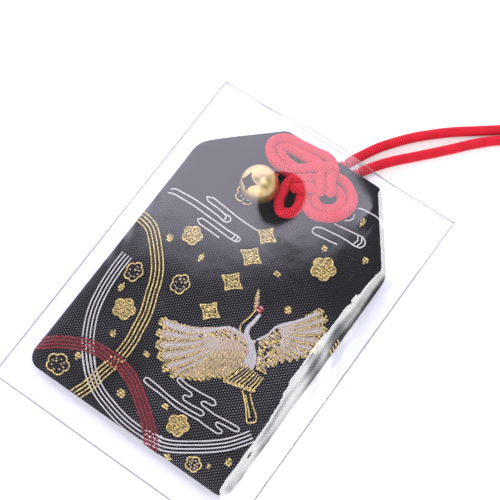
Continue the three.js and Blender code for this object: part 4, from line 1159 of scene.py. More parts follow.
def euler_of(width_axes, height_axes, length_axes):
    """XYZ Euler angles of frames whose three axes are given as rows of directions."""
    pitch = np.arcsin(np.clip(-width_axes[:, 2], -1, 1))
    roll = np.arctan2(height_axes[:, 2], length_axes[:, 2])
    yaw = np.arctan2(width_axes[:, 1], width_axes[:, 0])
    return np.stack([roll, pitch, yaw], axis=1)


def weft_floats(paper, surface, least_flat, seen, bag):
    """Splits the drawing into rows of floats: for each colour their centres, turns and lengths."""
    columns = np.arange(-30.5, 30.5, PAPER_STEP)
    rows = np.arange(-40.5, 42, bag.thread_pitch / MM)
    x, y = np.meshgrid(columns, rows)
    places, flat, inward = surface(x, y)
    if seen:
        x, y = seen_place(places)
        # On the side that the bulge hides from the camera, the drawing goes on along the flat cloth
        beyond = np.minimum(flat - BULGE_FLAT, 0)
        x, y = x + inward[..., 0] * beyond, y + inward[..., 1] * beyond
    threads = np.where(flat > least_flat, paper.look_up(x, y), 0)
    # The thick gold threads fill every second row only
    threads[1::2][threads[1::2] == GOLD] = 0
    laid = {}
    for thread, floats in cut_floats(threads, columns, rows, bag.longest_float / MM).items():
        x, y, reach = np.array(floats).T
        length_axis = surface(x + reach / 2, y)[0] - surface(x - reach / 2, y)[0]
        span = np.linalg.norm(length_axis, axis=1)
        length_axis /= span[:, None]
        rise = surface(x, y + 0.12)[0] - surface(x, y - 0.12)[0]
        height_axis = unit(np.cross(length_axis, rise))
        width_axis = np.cross(height_axis, length_axis)
        outward = 1 if seen else -1
        centre = surface(x, y)[0] + height_axis * outward * 0.2 * (bag.thread_height / MM)
        laid[thread] = (centre, euler_of(width_axis, height_axis, length_axis), span * MM)
    return laid


def silk_material(name, base, roughness=0.5):
    """Floss silk: soft sheen, fine lengthwise fibres and small changes of tone from thread to thread."""
    material, tree = new_material(name)
    place = add_node(tree, "TexCoord").outputs["Object"]
    stretched = add_node(tree, "Mapping", {"Vector": place, "Scale": (1, 6, 6)})
    fibre = add_node(tree, "TexNoise", (stretched, 1500, 2))
    tone = add_node(tree, "MapRange", (fibre, 0.3, 0.7, 0.78, 1.12))
    coloured = add_node(tree, "HueSaturation", {"Color": base, "Value": tone})
    return closed_material(material, coloured, fibre, (0.3, 0.00003), {
        "Roughness": roughness, "Sheen Weight": 0.2, "Sheen Roughness": 0.35, "Specular IOR Level": 0.4})


def gold_thread_material(name, base):
    """Foil-wrapped gold thread: yellow metal strips round a core, with painted glints and painted shade, a noise that
    lifts and darkens the base colour in turn.
    """
    material, tree = new_material(name)
    painted_glint_and_wrap = add_node(tree, "TexNoise", (add_node(tree, "TexCoord").outputs["Object"], 2600, 1))
    # Painted glints and painted shade: the noise brightens the gold up to 1.3 times its colour in spots and darkens it
    # to about a third between them
    tone = add_node(tree, "MapRange", (painted_glint_and_wrap, 0.36, 0.64, 0.32, 1.3))
    foil = add_node(tree, "HueSaturation", {"Color": base, "Value": tone})
    return closed_material(material, foil, painted_glint_and_wrap, (0.45, 0.00006), {"Metallic": 0.25, "Roughness": 0.4})


THREAD_NAMES = {GOLD: "gold", SILK: "white", CREAM: "cream", RED: "red", DARK_RED: "dark_red",
                FINE_GOLD: "fine_gold"}


class CHARM_OT_embroidery(bpy.types.Operator):
    """Weaves the motifs into both panels, thread by thread"""
    bl_idname = "charm.embroidery"
    bl_label = "Woven motifs"

    def execute(self, context):
        bag = context.scene.charm_bag
        tree, front = float_tree(), front_drawing()
        finishes = {
            GOLD: gold_thread_material("foil-wrapped gold thread", bag.gold),
            SILK: silk_material("white floss silk", bag.silk),
            CREAM: silk_material("cream floss silk", bag.cream),
            RED: silk_material("red floss silk", bag.red),
            DARK_RED: silk_material("dark red floss silk", bag.dark_red, 0.6),
        }
        finishes[FINE_GOLD] = finishes[GOLD]
        for side, drawing, surface, least_flat in (
                ("front", front, front_surface, FRONT_SECTION[0][0] + 0.3),
                ("back", back_drawing(), back_surface, BACK_SECTION[0][0] + 0.8)):
            threads = weft_floats(drawing, surface, least_flat, side == "front", bag)
            for thread, (centres, turns, spans) in threads.items():
                coarse = bag.gold_thickness if thread == GOLD else 1.0
                piece = node_piece(f"{THREAD_NAMES[thread]}_pattern_threads_{side}", tree, {
                    "Thread width": bag.thread_width * coarse, "Thread height": bag.thread_height * coarse,
                    "Material": finishes[thread]}, centres, attributes={"turn": turns, "span": spans})
                declare(piece, "bag")
        # Four gold stitches that show on the bag's right side
        side_stitches = [np.array([(26.25, y + 0.25, 4.8), (26.6, y, 4.1), (26.8, y - 0.15, 3.3)])
                         for y in (4.4, 3.45, 2.5, 1.55)]
        for thread, lift, share, slot, extra in (
                (SILK, 0.08, 1, "brocade", []), (GOLD, 0.14, 1.05, "gold_thread", side_stitches),
                (FINE_GOLD, 0.14, 0.7, "gold_thread", [])):
            lines = [line for line in (laid_line(line, lift) for line in front.couched[thread]) if len(line) > 2]
            declare(thread_piece(f"{THREAD_NAMES[thread]}_couched_threads_front", lines + extra, finishes[thread],
                                 bag.couched_width / MM * share, COUCHED_TURNS), "bag")
        return {"FINISHED"}


# ---------------------------------------------------------------- the bag's panels
# Waves per millimetre that make the lattice of binding dots, and the spacing they give, in millimetres
DOT_WAVES = ((1.15, -1.25), (0.78, 1.82), (1.93, 0.57))
DOT_SPACING = 0.6
RIB_PITCH = 0.3


def brocade_material(bag):
    """Figured silk brocade: a near-black satin ground with pale binding dots on a diagonal lattice."""
    material, tree = new_material("black figured brocade")
    across, along, _ = add_node(tree, "SeparateXYZ", [add_node(tree, "UVMap", uv_map="cloth")]).outputs
    scale = 2 * math.pi * DOT_SPACING / (bag.dot_pitch / MM)
    waves = []
    for wave_across, wave_along in DOT_WAVES:
        share = add_node(tree, "Math", (across, wave_across * scale), operation="MULTIPLY")
        phase = add_node(tree, "Math", (along, wave_along * scale, share), operation="MULTIPLY_ADD")
        waves.append(add_node(tree, "Math", [phase], operation="COSINE"))
    pair = add_node(tree, "Math", waves[:2], operation="ADD")
    lattice = add_node(tree, "Math", (pair, waves[2]), operation="ADD")
    dot = add_node(tree, "MapRange", (lattice, 1.35, 2.5), interpolation_type="SMOOTHSTEP")
    patch = add_node(tree, "TexNoise", (add_node(tree, "TexCoord").outputs["Object"], 70, 2))
    shown = add_node(tree, "MapRange", (patch, 0.3, 0.65, 0.07, 0.42))
    gathered = add_node(tree, "MapRange", (along, 1, 13, 1, 0.15))
    weaker = add_node(tree, "Math", (gathered, shown), operation="MULTIPLY")
    strength = add_node(tree, "Math", (dot, weaker), operation="MULTIPLY")
    coloured = add_node(tree, "Mix", (strength, bag.ground, bag.dots), data_type="RGBA")
    ribs = add_node(tree, "Math", (along, 2 * math.pi / RIB_PITCH), operation="MULTIPLY")
    rib = add_node(tree, "Math", [ribs], operation="SINE")
    raised = add_node(tree, "Math", (rib, 0.25, dot), operation="MULTIPLY_ADD")
    return closed_material(material, coloured, raised, (0.4, 0.00005), {"Roughness": 0.7, "Specular IOR Level": 0.12})


def panel_piece(name, rings, surface, material, outwards):
    """A panel from rings of the flat outline, with its eyelets cut and its wall thickness."""
    flats = [bag_outline(inset) for inset in rings]
    count, last = len(flats[0]), (len(rings) - 1) * len(flats[0])
    flat = np.vstack([*flats, flats[-1].mean(axis=0)])
    places = surface(*flat.T)[0]
    faces = grid_faces(len(rings), count, closed=True).tolist()
    faces += [(last + i, last + (i + 1) % count, last + count) for i in range(count)]
    # Points inside an eyelet move out to its rim, and faces of such points only are left out
    gone = np.zeros(len(flat), bool)
    for eyelet in EYELETS:
        spokes = places[:, :2] - eyelet
        near = np.hypot(*spokes.T)
        inside = near < EYELET_RADIUS
        places[inside, :2] = eyelet + spokes[inside] / np.maximum(near[inside], 1e-6)[:, None] * EYELET_RADIUS
        gone |= inside
    faces = [face if outwards else face[::-1] for face in faces if not gone[list(face)].all()]
    used = np.unique(np.concatenate(faces))
    faces = [np.searchsorted(used, face) for face in faces]
    piece = mesh_piece(name, places[used], faces, material, uv=flat[used])
    return thicken(piece, CLOTH_THICKNESS), flats[0]


class CHARM_OT_panels(bpy.types.Operator):
    """Makes the front and back panels of the bag"""
    bl_idname = "charm.panels"
    bl_label = "Brocade panels"

    def execute(self, context):
        material = brocade_material(context.scene.charm_bag)
        front = [*np.linspace(FRONT_SECTION[0][0], 3, 20), *np.linspace(3.5, 24.3, 44)]
        back = [*np.linspace(BACK_SECTION[0][0], 3, 12), *np.linspace(3.6, 24.3, 30)]
        for side, rings, surface, bearer in (
                ("front", front, front_surface, "wadding"), ("back", back, back_surface, "sleeve_back")):
            piece, outline = panel_piece(f"brocade_{side}_panel", rings, surface, material, side == "front")
            declare(piece, "bag", f"brocade_{side}")
        return {"FINISHED"}


class CHARM_OT_seam(bpy.types.Operator):
    """Sews the two panels together with a ladder stitch"""
    bl_idname = "charm.seam"
    bl_label = "Seam thread"

    def execute(self, context):
        # The sewing thread takes the gold material, with its painted glints and painted shade
        material = gold_thread_material("twisted gold sewing thread", context.scene.charm_bag.gold)
        ring, inner, outer = (bag_outline(SEAM_INSET + further) for further in (0, 0.55, -0.35))
        top = int(np.argmax(ring[:, 1] - np.abs(ring[:, 0]) * 0.2))
        order = np.roll(np.arange(len(ring)), -top)
        along = distance_along(ring[order])
        knots = []
        stitches = int(along[-1] / STITCH_LENGTH)
        for stitch in range(stitches):
            here, ahead = (order[int(np.searchsorted(along, min((stitch + part) / stitches, 0.999) * along[-1]))]
                           for part in (0.5, 0.62))
            y = ring[here][1]
            # The bag's mouth and shoulders stay unsewn
            if y > TAPER_START - STITCH_LENGTH:
                continue
            first, second = (seam_line(y) - 0.28, seam_line(y) + 0.3)[::-1 if stitch % 2 else 1]
            knots += [(*inner[here], first), (*outer[here], first), (*outer[ahead], second), (*inner[ahead], second)]
        piece = thread_piece("ladder_stitch_thread", [spline_through(knots, 0.2)], material, *SEAM_THREAD)
        declare(piece, "bag", "seam_thread")
        return {"FINISHED"}


# ---------------------------------------------------------------- what the bag holds
def lining_material():
    """Plain woven cotton: crossing threads and a soft matt face."""
    material, tree = new_material("plain woven cotton")
    place = add_node(tree, "SeparateXYZ", [add_node(tree, "TexCoord").outputs["Object"]])
    waves = []
    for axis in "XY":
        turned = add_node(tree, "Math", (place.outputs[axis], 2 * math.pi / 0.0005), operation="MULTIPLY")
        waves.append(add_node(tree, "Math", [turned], operation="SINE"))
    weave = add_node(tree, "Math", waves, operation="MULTIPLY")
    tone = add_node(tree, "MapRange", (weave, -1, 1))
    coloured = add_node(tree, "Mix", (tone, linear("#d6d1c3"), linear("#efece2")), data_type="RGBA")
    return closed_material(material, coloured, tone, (0.4, 0.00005), {"Roughness": 0.85})


def grained_material(name, low, high, scale, stretch, roughness, depth, metallic=0):
    """A dry matt material whose tone follows a stretched grain."""
    material, tree = new_material(name)
    place = add_node(tree, "TexCoord").outputs["Object"]
    along = add_node(tree, "Mapping", {"Vector": place, "Scale": stretch})
    grain = add_node(tree, "TexNoise", {
        "Vector": along, "Scale": scale, "Detail": 4, "Roughness": 0.6, "Distortion": 0.3})
    spread = add_node(tree, "MapRange", (grain, 0.3, 0.7))
    tone = add_node(tree, "Mix", (spread, linear(low), linear(high)), data_type="RGBA")
    return closed_material(material, tone, grain, (0.5, depth), {"Roughness": roughness, "Metallic": metallic})


def wadding_mesh():
    """The felted pad: a rounded slab with soft waves in its sides and on its top."""
    middle, half = node_box("wadding_pad")
    angle = np.linspace(0, 2 * np.pi, 160, endpoint=False)
    # A rectangle with rounded corners
    reach = (np.abs(np.cos(angle)) ** 10 + np.abs(np.sin(angle)) ** 10) ** -0.1
    rows = []
    for level in np.linspace(-1, 1, 9):
        inset = 0.5 * (1 - math.sqrt(1 - level ** 4 * 0.98))
        size = half[:2, None] - 0.15 - inset + 0.12 * np.sin(angle * 13 + level)
        x, y = middle[:2, None] + size * reach * (np.cos(angle), np.sin(angle))
        rows.append(np.stack([x, y, np.full(len(angle), middle[2] + level * half[2] * 0.94)], axis=1))
    bottom, top = rows[0], rows[-1]
    for share in (0.9, 0.7, 0.5, 0.3, 0.1):
        lower, upper = bottom.copy(), top.copy()
        for ring in (lower, upper):
            ring[:, :2] = middle[:2] + (ring[:, :2] - middle[:2]) * share
        upper[:, 2] += 0.02 * np.sin(upper[:, 0] * 1.3) * np.sin(upper[:, 1] * 1.1)
        rows = [lower, *rows, upper]
    return closed_rings(rows, rows[0].mean(axis=0), rows[-1].mean(axis=0))


class CHARM_OT_inside(bpy.types.Operator):
    """Makes the lining and the wadding, and finishes the card, the tablet and its paper"""
    bl_idname = "charm.inside"
    bl_label = "Lining, wadding and tablet"

    def execute(self, context):
        cotton = lining_material()
        for node, bearer in (("lining_back", "brocade_back_panel"), ("lining_front", "wadding")):
            middle, half = node_box(node)
            u, v = np.meshgrid(np.linspace(-1, 1, 61), np.linspace(-1, 1, 65))
            x = middle[0] + half[0] * u * np.sqrt(1 - 0.012 * v ** 8)
            y = middle[1] + half[1] * v * np.sqrt(1 - 0.012 * u ** 8)
            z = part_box(node)[1][2] / MM - 0.01 + 0.015 * np.sin(x * 0.7) * np.sin(y * 0.5 + 1)
            places = np.stack([x, y, z], axis=-1).reshape(-1, 3)
            piece = thicken(mesh_piece(f"{node}_cloth", places, grid_faces(*u.shape), cotton), LINING_THICKNESS)
            declare(piece, "bag", node)
        felt = grained_material("carded wool wadding", "#e9e6dc", "#fbfaf5", 900, (1, 1, 1), 0.95, 0.0001)
        wadding = mesh_piece("wadding", *wadding_mesh(), felt)
        declare(wadding, "bag", "wadding_pad")
        for node, finish in (
                ("stiffener_card", ("grey-brown pressed card", "#b09c76", "#cfbb94", 700, (1, 1, 1), 0.9, 0.00005)),
                ("talisman_tablet", ("planed cypress", "#cfae78", "#e2c899", 160, (6, 0.5, 6), 0.7, 0.00004)),
                ("talisman_paper", ("handmade mulberry paper", "#e9e4d6", "#faf7ee", 400, (1, 3, 1), 0.85, 0.00004))):
            material = grained_material(*finish)
            for slot in bpy.data.objects[node].material_slots:
                slot.material = material
        return {"FINISHED"}


# ---------------------------------------------------------------- the bell
def on_bag(points):
    """Turns points of the bell's own frame, its tie at zero and its axis along Z, into the charm's frame."""
    swing = Vector((-math.sin(BELL_HEADING), math.cos(BELL_HEADING), 0))
    turn = Quaternion(swing, BELL_LEAN) @ Quaternion((0, 0, 1), BELL_HEADING - math.pi / 2)
    return points @ np.array(turn.to_matrix()).T + BELL_TIE


def bell_centre(swing):
    """The bell's centre after a swing about its tie."""
    away, rise = (BELL_REACH * part(BELL_LEAN + swing) for part in (math.sin, math.cos))
    return BELL_TIE + np.array([away * math.cos(BELL_HEADING), away * math.sin(BELL_HEADING), rise])


def brass_material(bell):
    """Pressed and polished brass: bright yellow metal with a little tarnish and fine rubbing marks."""
    material, tree = new_material("polished brass")
    place = add_node(tree, "TexCoord").outputs["Object"]
    tarnish = add_node(tree, "TexNoise", (place, 500, 3))
    rub = add_node(tree, "TexNoise", (place, 3000, 2))
    tone = add_node(tree, "MapRange", (tarnish, 0.3, 0.7, 0.86, 1.04))
    metal = add_node(tree, "HueSaturation", {"Color": bell.brass, "Value": tone})
    rough = add_node(tree, "MapRange", (rub, 0.3, 0.7, bell.roughness * 0.75, bell.roughness * 1.35))
    return closed_material(material, metal, rub, (0.06, 0.00003), {"Metallic": 1, "Roughness": rough})


def bell_shell_mesh():
    """The pressed shell: a ball open in a four-petal star, with rounded lips and an inner face."""
    angle = full_turn(144)
    star = sum(np.abs(part(angle - np.pi / 4)) ** STAR_POWER for part in (np.cos, np.sin))
    opening = np.arcsin((STAR_SIZE / 2) / star ** (1 / STAR_POWER) / BELL_RADIUS)
    inner_radius, half_wall = BELL_RADIUS - BELL_WALL, BELL_WALL / 2
    rings = [(BELL_RADIUS, np.pi - (np.pi - opening) * (share + 0.02) / 1.02) for share in np.linspace(0, 1, 34)[:-1]]
    rings += [(BELL_RADIUS - half_wall + (half_wall + LIP_SWELL * np.sin(turn)) * np.cos(turn),
               opening - half_wall * np.sin(turn) / BELL_RADIUS) for turn in np.linspace(0, np.pi, 7)]
    rings += [(inner_radius, opening + (np.pi - 0.05 - opening) * share) for share in np.linspace(0, 1, 26)[1:]]
    rings = [ball_points(radius, polar, angle, (0, 0, BELL_REACH)) for radius, polar in rings]
    return closed_rings(rings, (0, 0, BELL_REACH - BELL_RADIUS), (0, 0, BELL_REACH - inner_radius))


class CHARM_OT_bell(bpy.types.Operator):
    """Makes the bell, its bail, its tie and the ball inside"""
    bl_idname = "charm.bell"
    bl_label = "Bell"

    def execute(self, context):
        brass = brass_material(context.scene.charm_bell)
        points, faces = bell_shell_mesh()
        declare(mesh_piece("bell_petal_shell", on_bag(points), faces, brass), "bell", "bell_shell")
        inside = BELL_REACH - BELL_RADIUS + 2.6 * BELL_WALL
        leg = [(0, BAIL_RADIUS, z) for z in (0, inside / 2, inside)]
        bend = [(0, BAIL_RADIUS * math.cos(turn), BAIL_RADIUS * math.sin(turn))
                for turn in np.linspace(math.pi, 2 * math.pi, 7)[1:-1]]
        line = spline_through([*[(x, -y, z) for x, y, z in leg[::-1]], *bend, *leg], 0.12)
        points, faces = tube_mesh(line, np.full((len(line), 16), WIRE_RADIUS))
        declare(mesh_piece("bell_wire_bail", on_bag(points), faces, brass), "bell", "bell_bail")
        middle, half = node_box("bell_pellet")
        radius = half[2]
        polar, around = np.meshgrid(np.linspace(0, np.pi, 26)[1:-1], full_turn(40), indexing="ij")
        reach = radius * (1 - 0.012 * (1 + np.sin(polar * 9) * np.cos(around * 5)))
        pole = np.array([0, 0, radius * 0.985])
        ball = closed_rings(ball_points(reach, polar, around, middle), middle + pole, middle - pole, turned=True)
        steel = grained_material("plain steel shot", "#9a9ea2", "#c4c8cc", 900, (1, 1, 1), 0.35, 0.00002, metallic=1)
        declare(mesh_piece("bell_shot", *ball, steel), "pellet", "bell_pellet")
        across = np.array([-math.sin(BELL_HEADING), math.cos(BELL_HEADING), 0])
        knots = [BELL_TIE - across * share * 0.8 for share in (1, 0.4, 0, -0.5, -1.2)]
        knots += [np.add(BELL_TIE, step) for step in ((-1.23, 1.67, 0), (-0.83, 3.17, 0))]
        red = silk_material("twisted red sewing thread", context.scene.charm_cord.colour)
        tie = thread_piece("bell_tie_thread", [spline_through(knots, 0.2)], red, *TIE_THREAD)
        declare(tie, "bag", "bell_tie")
        return {"FINISHED"}


# ---------------------------------------------------------------- the sleeve
MOST_MIRRORED = 0.18  # a flat look along the film still shows the bag under it


def film_material(sleeve):
    """Cast polypropylene film: clear, with a thin mirror of the room on its outer faces."""
    material, tree = new_material("clear polypropylene film")
    calm = add_node(tree, "Attribute", attribute_name="calm_normal").outputs["Vector"]
    upright = add_node(tree, "VectorMath", [calm], operation="NORMALIZE")
    ripple = add_node(tree, "TexNoise", (add_node(tree, "TexCoord").outputs["Object"], 75, 3))
    bump = add_node(tree, "Bump", {"Height": ripple, "Strength": 0.1, "Distance": 0.0003, "Normal": upright})
    fresnel = add_node(tree, "Fresnel", {"IOR": 1.5, "Normal": bump})
    raised = add_node(tree, "Math", (fresnel, sleeve.gloss), operation="MULTIPLY")
    held = add_node(tree, "Math", (raised, MOST_MIRRORED), operation="MINIMUM")
    from_behind = add_node(tree, "NewGeometry").outputs["Backfacing"]
    facing = add_node(tree, "Math", (1.0, from_behind), operation="SUBTRACT")
    share = add_node(tree, "Math", (held, facing), operation="MULTIPLY")
    clear = add_node(tree, "BsdfTransparent", [linear("#fcfcfe")])
    gloss = add_node(tree, "BsdfAnisotropic", {"Color": share, "Roughness": sleeve.roughness, "Normal": bump})
    add_node(tree, "OutputMaterial", [add_node(tree, "AddShader", (clear, gloss))])
    return material


def cut_edge_material():
    """Cut and welded film edge: the same film seen edge on, so it reads as a thin grey line."""
    material, tree = new_material("cut film edge")
    clear = add_node(tree, "BsdfTransparent", [linear("#ffffff")])
    milky = add_node(tree, "BsdfDiffuse", [linear("#8f9096")])
    add_node(tree, "OutputMaterial", [add_node(tree, "MixShader", (0.38, clear, milky))])
    return material


def film_edge_dip(x, y):
    """Where a point of the film's grid lies along the sleeve: the mouth edge dips in its middle."""
    dip = 1 - (np.abs(x) / (SLEEVE_WIDTH / 2)) ** 4
    return y - MOUTH_DIP * dip * ease((y - TAPER_START) / (SLEEVE_LENGTH / 2 - TAPER_START))


def film_floor(x, y, with_knot):
    """Lowest height that the front film can have over the things under it."""
    height, inset = front_height(x, y)
    under = np.where(inset > 0, height + FILM_CLEARANCE, FILM_BASE)
    if not with_knot:
        return under
    for swing in (0, -BELL_SWING):
        bell_x, bell_y, bell_z = bell_centre(swing)
        away = np.hypot(x - bell_x, y - bell_y)
        reach = BELL_RADIUS + FILM_CLEARANCE
        cap = bell_z + np.sqrt(np.maximum(reach ** 2 - away ** 2, 0))
        under = np.where(away < reach, np.maximum(under, cap), under)
    for run in KNOT_RUNS.values():
        for cord_x, cord_y, cord_z in spline_through(knot_route(run), 0.5):
            away = np.hypot(x - cord_x, y - cord_y)
            near = away < KNOT_FILM_REACH
            cap = cord_z + (CORD_RADIUS + FILM_CLEARANCE) * (1 - 0.3 * (away[near] / KNOT_FILM_REACH) ** 4)
            under[near] = np.maximum(under[near], cap)
    return under


def taut_heights(under, fixed):
    """Heights of a film held at its welds: each free point settles at the mean of its neighbours."""
    height = None
    # Coarse grids come first, so that the film settles in few rounds
    for stride, rounds in ((8, 400), (4, 500), (2, 400), (1, 250)):
        low, held = under[::stride, ::stride], fixed[::stride, ::stride]
        if height is None:
            height = low.copy()
        else:
            coarse, height = height, np.zeros(low.shape)
            height[::2, ::2] = coarse
            height[1::2, ::2] = (coarse[1:] + coarse[:-1]) / 2
            height[:, 1::2] = (height[:, :-2:2] + height[:, 2::2]) / 2
        height[held] = FILM_BASE
        for _ in range(rounds):
            wide = np.pad(height, 1, mode="edge")
            mean = (wide[:-2, 1:-1] + wide[2:, 1:-1] + wide[1:-1, :-2] + wide[1:-1, 2:]) / 4
            height = np.maximum(low, mean)
            height[held] = FILM_BASE
    return height


def sleeve_grid(columns, rows):
    """Even points over the flat sleeve."""
    return np.meshgrid(np.linspace(-SLEEVE_WIDTH / 2, SLEEVE_WIDTH / 2, columns),
                       np.linspace(-SLEEVE_LENGTH / 2, SLEEVE_LENGTH / 2, rows))


def film_creases(x, y):
    """Faint swells and creases of a film that has been handled."""
    swell = 0.04 * np.sin(x * 0.35 + y * 0.12 + 1) * np.sin(y * 0.22 - x * 0.1)
    crease = 0.05 * np.exp(-((x + 24 + (y - 34) * 0.45) / 0.8) ** 2) * ease((y - 26) / 8)
    side = 0.08 * np.sin(y * 0.75 + 0.9 * np.sin(y * 0.31) + x * 0.3) * np.exp(-((x - 25.2) / 2.4) ** 2)
    return swell + crease + side


# Where the film folds over the bag's right edge, as places along the bag and across it, in millimetres
SIDE_FOLD = ((-34, 27.1), (-32.7, 26.6), (-24.2, 25.2), (-19.6, 25.1), (-13.6, 24.4), (-8.1, 23.5), (1.3, 23.5),
             (8.6, 24.0), (15, 24.1), (19, 24.6), (22, 25.2), (24.5, 26.0), (28, 27.2))


def calm_normals(x, y, taut):
    """Normals of the film's mirror: those of the film over the bag alone, calmer in its middle."""
    spacing_x, spacing_y = x[0, 1] - x[0, 0], np.gradient(y, axis=0)
    slope_y = np.gradient(taut, axis=0) / spacing_y
    slope_x = np.gradient(taut, axis=1) / spacing_x
    inset, _ = outline_distance(x, y)
    # The mirror keeps the film's slope at the bag's rim, a third of it at the shoulders and little in the middle
    shoulder = 1 - 0.65 * ease((y - TAPER_START + 2) / 9)
    keep = shoulder + (0.12 - shoulder) * ease((inset - 3.6) / 3)
    tilt_x, tilt_y = -slope_x * keep, -slope_y * keep
    streaks = 0.06 * np.sin(x * 4.3 + 0.7 * np.sin(y * 0.4)) + 0.07 * np.sin(y * 0.5 + 1.4 * np.sin(y * 0.21) + x * 0.9)
    # Tilts to the left are levelled out, and tilts along the bag are held small and fade towards both sides
    tilt_x = np.maximum(tilt_x, 0)
    tilt_y = np.maximum(tilt_y, -0.12) * (1 - 0.75 * ease((np.abs(x) - 14) / 4))
    # Past the bag's right edge the film folds over, with its fine streaks
    fold = np.interp(y, *zip(*SIDE_FOLD)) + 0.07 * np.sin(1.7 * y) + 0.03 * np.sin(4.1 * y + 1)
    past = x - fold
    slant = 0.27 + 0.1 * ease(past / 0.6) + (0.02 + 0.24 * ease((y + 14) / 26)) * ease((past - 0.3) / 2.6) + streaks
    within = ease((past + 0.2) / 0.25) * ease((32 - y) / 4)
    tilt_x = np.where(x > 18, tilt_x * 0.3 * (1 - within) + slant * within, tilt_x)
    # The rim of the right shoulder leans outwards
    rim = ease((1.3 - inset) / 0.5) * ease((y - 18) / 4) * (x > 15)
    tilt_x = np.maximum(tilt_x, 0.36 * rim)
    # A shallow dimple lies below the knot
    dimple = 0.17 * np.exp(-(((x + 0.3) / 3.4) ** 2 + ((y - 22.2) / 4.8) ** 2) ** 1.5)
    return np.stack([tilt_x + dimple * 0.7, tilt_y - dimple * 0.7, np.ones(x.shape)], axis=-1)


def film_grid():
    """Points of the front film's grid; their number suits the coarser grids of the taut film."""
    counts = [int(round(side / FILM_STEP)) for side in (SLEEVE_WIDTH, SLEEVE_LENGTH)]
    x, y = sleeve_grid(*[count + (-count) % 8 + 1 for count in counts])
    return x, film_edge_dip(x, y)


def film_piece(name, x, y, z, normals, finishes, thickness):
    """A film from its grid, with a thin line of cut edge all round."""
    x, y = x.copy(), y.copy()
    x[:, 1], x[:, -2] = -(SLEEVE_WIDTH / 2 - EDGE_LINE), SLEEVE_WIDTH / 2 - EDGE_LINE
    y[1], y[-2] = y[0] + EDGE_LINE, y[-1] - EDGE_LINE
    rows, columns = x.shape
    piece = mesh_piece(name, np.stack([x, y, z], axis=-1).reshape(-1, 3), grid_faces(rows, columns), finishes[0],
                       attributes={"calm_normal": normals.reshape(-1, 3)})
    piece.data.materials.append(finishes[1])
    rim = np.ones((rows - 1, columns - 1), np.int32)
    rim[1:-1, 1:-1] = 0
    piece.data.polygons.foreach_set("material_index", rim.ravel())
    return thicken(piece, thickness)


class CHARM_OT_sleeve(bpy.types.Operator):
    """Draws the two films of the sleeve, welded along three edges"""
    bl_idname = "charm.sleeve"
    bl_label = "Film sleeve"

    def execute(self, context):
        sleeve = context.scene.charm_sleeve
        finishes = (film_material(sleeve), cut_edge_material())
        thickness = sleeve.thickness / MM
        x, y = film_grid()
        edge = np.minimum(SLEEVE_WIDTH / 2 - np.abs(x), y + SLEEVE_LENGTH / 2)
        creases = film_creases(x, y) * ease((edge - WELD_WIDTH) / 3)
        calm, taut = (taut_heights(film_floor(x, y, with_knot), edge <= WELD_WIDTH) + creases
                      for with_knot in (False, True))
        front = film_piece("sleeve_front", x, y, taut + thickness, calm_normals(x, y, calm), finishes, thickness)
        x, y = sleeve_grid(81, 111)
        upwards = np.zeros((*x.shape, 3)) + (0, 0, 1)
        back = film_piece("sleeve_back", x, y, np.full(x.shape, BACK_FILM_TOP), upwards, finishes,
                          BACK_FILM_THICKNESS)
        declare(front, "sleeve", "sleeve_front_film")
        declare(back, "sleeve", "sleeve_back_film")
        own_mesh(front)
        return {"FINISHED"}


# ---------------------------------------------------------------- the stage
def studio_world(stage):
    """A white room: dim ceiling, bright walls, a large soft box up left and a strip box up right."""
    world = bpy.data.worlds.new("studio room")
    world.use_nodes = True
    tree = world.node_tree
    tree.nodes.clear()
    x, y, z = add_node(tree, "SeparateXYZ", [add_node(tree, "TexCoord").outputs["Generated"]]).outputs
    room = add_node(tree, "MapRange", (z, 0.1, 0.6, stage.horizon, stage.zenith), interpolation_type="SMOOTHSTEP")
    corner = add_node(tree, "Math", (x, 0.243), operation="ADD")
    edges = [add_node(tree, "Math", (corner, -slope, y), operation="MULTIPLY_ADD") for slope in (0.44, 1.52)]
    # Each light's tint, radiance and bands: a band grows from 0 to 1 between two values of a direction
    lights = (
        ("#f0ecff", stage.window, [(edges[0], 0.232, 0.298), (edges[1], 0.232, 0.298), (z, 0.05, 0.3)]),
        ("#fdfdff", stage.strip, [(x, 0.17, 0.24), (x, 0.82, 0.36), (y, 0.02, 0.06), (y, 0.44, 0.4), (z, 0.1, 0.3)]),
        ("#ffffff", stage.side, [(x, -0.4, -0.7), (z, 0.1, 0.4)]),
        ("#ffffff", stage.behind, [(y, -0.2, -0.45), (z, 0.1, 0.4)]),
    )
    total = add_node(tree, "Background", (linear("#fcfcff"), room))
    for tint, radiance, bands in lights:
        level, *others = [add_node(tree, "MapRange", band, interpolation_type="SMOOTHSTEP") for band in bands]
        for factor in (*others, radiance):
            level = add_node(tree, "Math", (level, factor), operation="MULTIPLY")
        total = add_node(tree, "AddShader", (total, add_node(tree, "Background", (linear(tint), level))))
    add_node(tree, "OutputWorld", [total])
    bpy.context.scene.world = world


def floor_material(stage):
    """White paper sweep: matt, keeps the charm's shadow, and reads as white in view and in mirrors."""
    material, tree = new_material("white paper sweep")
    rays = add_node(tree, "LightPath").outputs
    seen = add_node(tree, "Math", (rays["Is Camera Ray"], rays["Is Glossy Ray"]), operation="MAXIMUM")
    through = add_node(tree, "Math", (seen, rays["Is Transmission Ray"]), operation="MAXIMUM")
    lift = add_node(tree, "Math", (through, stage.lift), operation="MULTIPLY")
    matt = add_node(tree, "BsdfDiffuse", [stage.floor])
    glow = add_node(tree, "Emission", (linear("#ffffff"), lift))
    add_node(tree, "OutputMaterial", [add_node(tree, "AddShader", (matt, glow))])
    return material


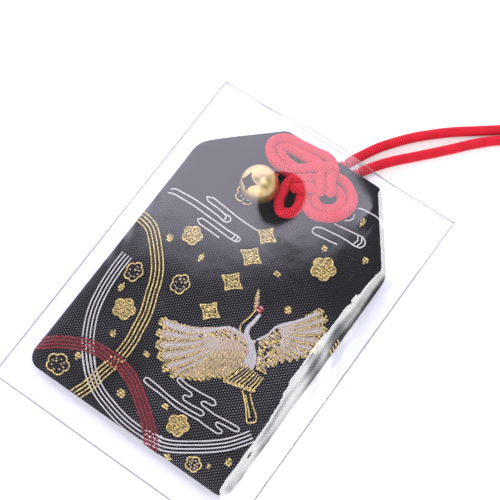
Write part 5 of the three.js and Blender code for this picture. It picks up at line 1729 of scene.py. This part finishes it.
class CHARM_OT_stage(bpy.types.Operator):
    """Lays the floor and lights the room"""
    bl_idname = "charm.stage"
    bl_label = "Stage"

    def execute(self, context):
        stage = context.scene.charm_stage
        half, drop = 3000.0, -0.08
        corners = [(-half, -half, drop), (half, -half, drop), (half, half, drop), (-half, half, drop)]
        mesh_piece("floor", corners, [(0, 1, 2, 3)], floor_material(stage), smooth=False)
        studio_world(stage)
        context.scene.view_settings.view_transform = "Standard"
        return {"FINISHED"}


# ---------------------------------------------------------------- panel, registration and making
class CHARM_PT_panel(bpy.types.Panel):
    """Lists the charm's pieces and their sizes and colours"""
    bl_idname = "CHARM_PT_panel"
    bl_label = "Omamori charm"
    bl_space_type = "VIEW_3D"
    bl_region_type = "UI"
    bl_category = "Charm"

    def draw(self, context):
        for operator in MAKING_ORDER:
            self.layout.operator(operator.bl_idname)
        for name, group in SETTINGS.items():
            box = self.layout.box()
            box.label(text=group.__doc__)
            for field in group.__annotations__:
                box.prop(getattr(context.scene, name), field)


SETTINGS = {
    "charm_bag": CharmBag, "charm_cord": CharmCord, "charm_bell": CharmBell, "charm_sleeve": CharmSleeve,
    "charm_stage": CharmStage,
}
MAKING_ORDER = (
    CHARM_OT_camera, CHARM_OT_cords, CHARM_OT_sleeve, CHARM_OT_inside, CHARM_OT_panels, CHARM_OT_seam,
    CHARM_OT_embroidery, CHARM_OT_bell, CHARM_OT_stage,
)


def register():
    """Registers the settings, the operators and the panel."""
    for group in (*SETTINGS.values(), *MAKING_ORDER, CHARM_PT_panel):
        bpy.utils.register_class(group)
    for name, group in SETTINGS.items():
        setattr(bpy.types.Scene, name, bpy.props.PointerProperty(type=group))


def unregister():
    """Removes what register has added."""
    for name in SETTINGS:
        delattr(bpy.types.Scene, name)
    for group in reversed((*SETTINGS.values(), *MAKING_ORDER, CHARM_PT_panel)):
        bpy.utils.unregister_class(group)


def main():
    """Makes the whole charm."""
    register()
    for operator in MAKING_ORDER:
        _, name = operator.bl_idname.split(".")
        getattr(bpy.ops.charm, name)()


if __name__ == "__main__":
    main()
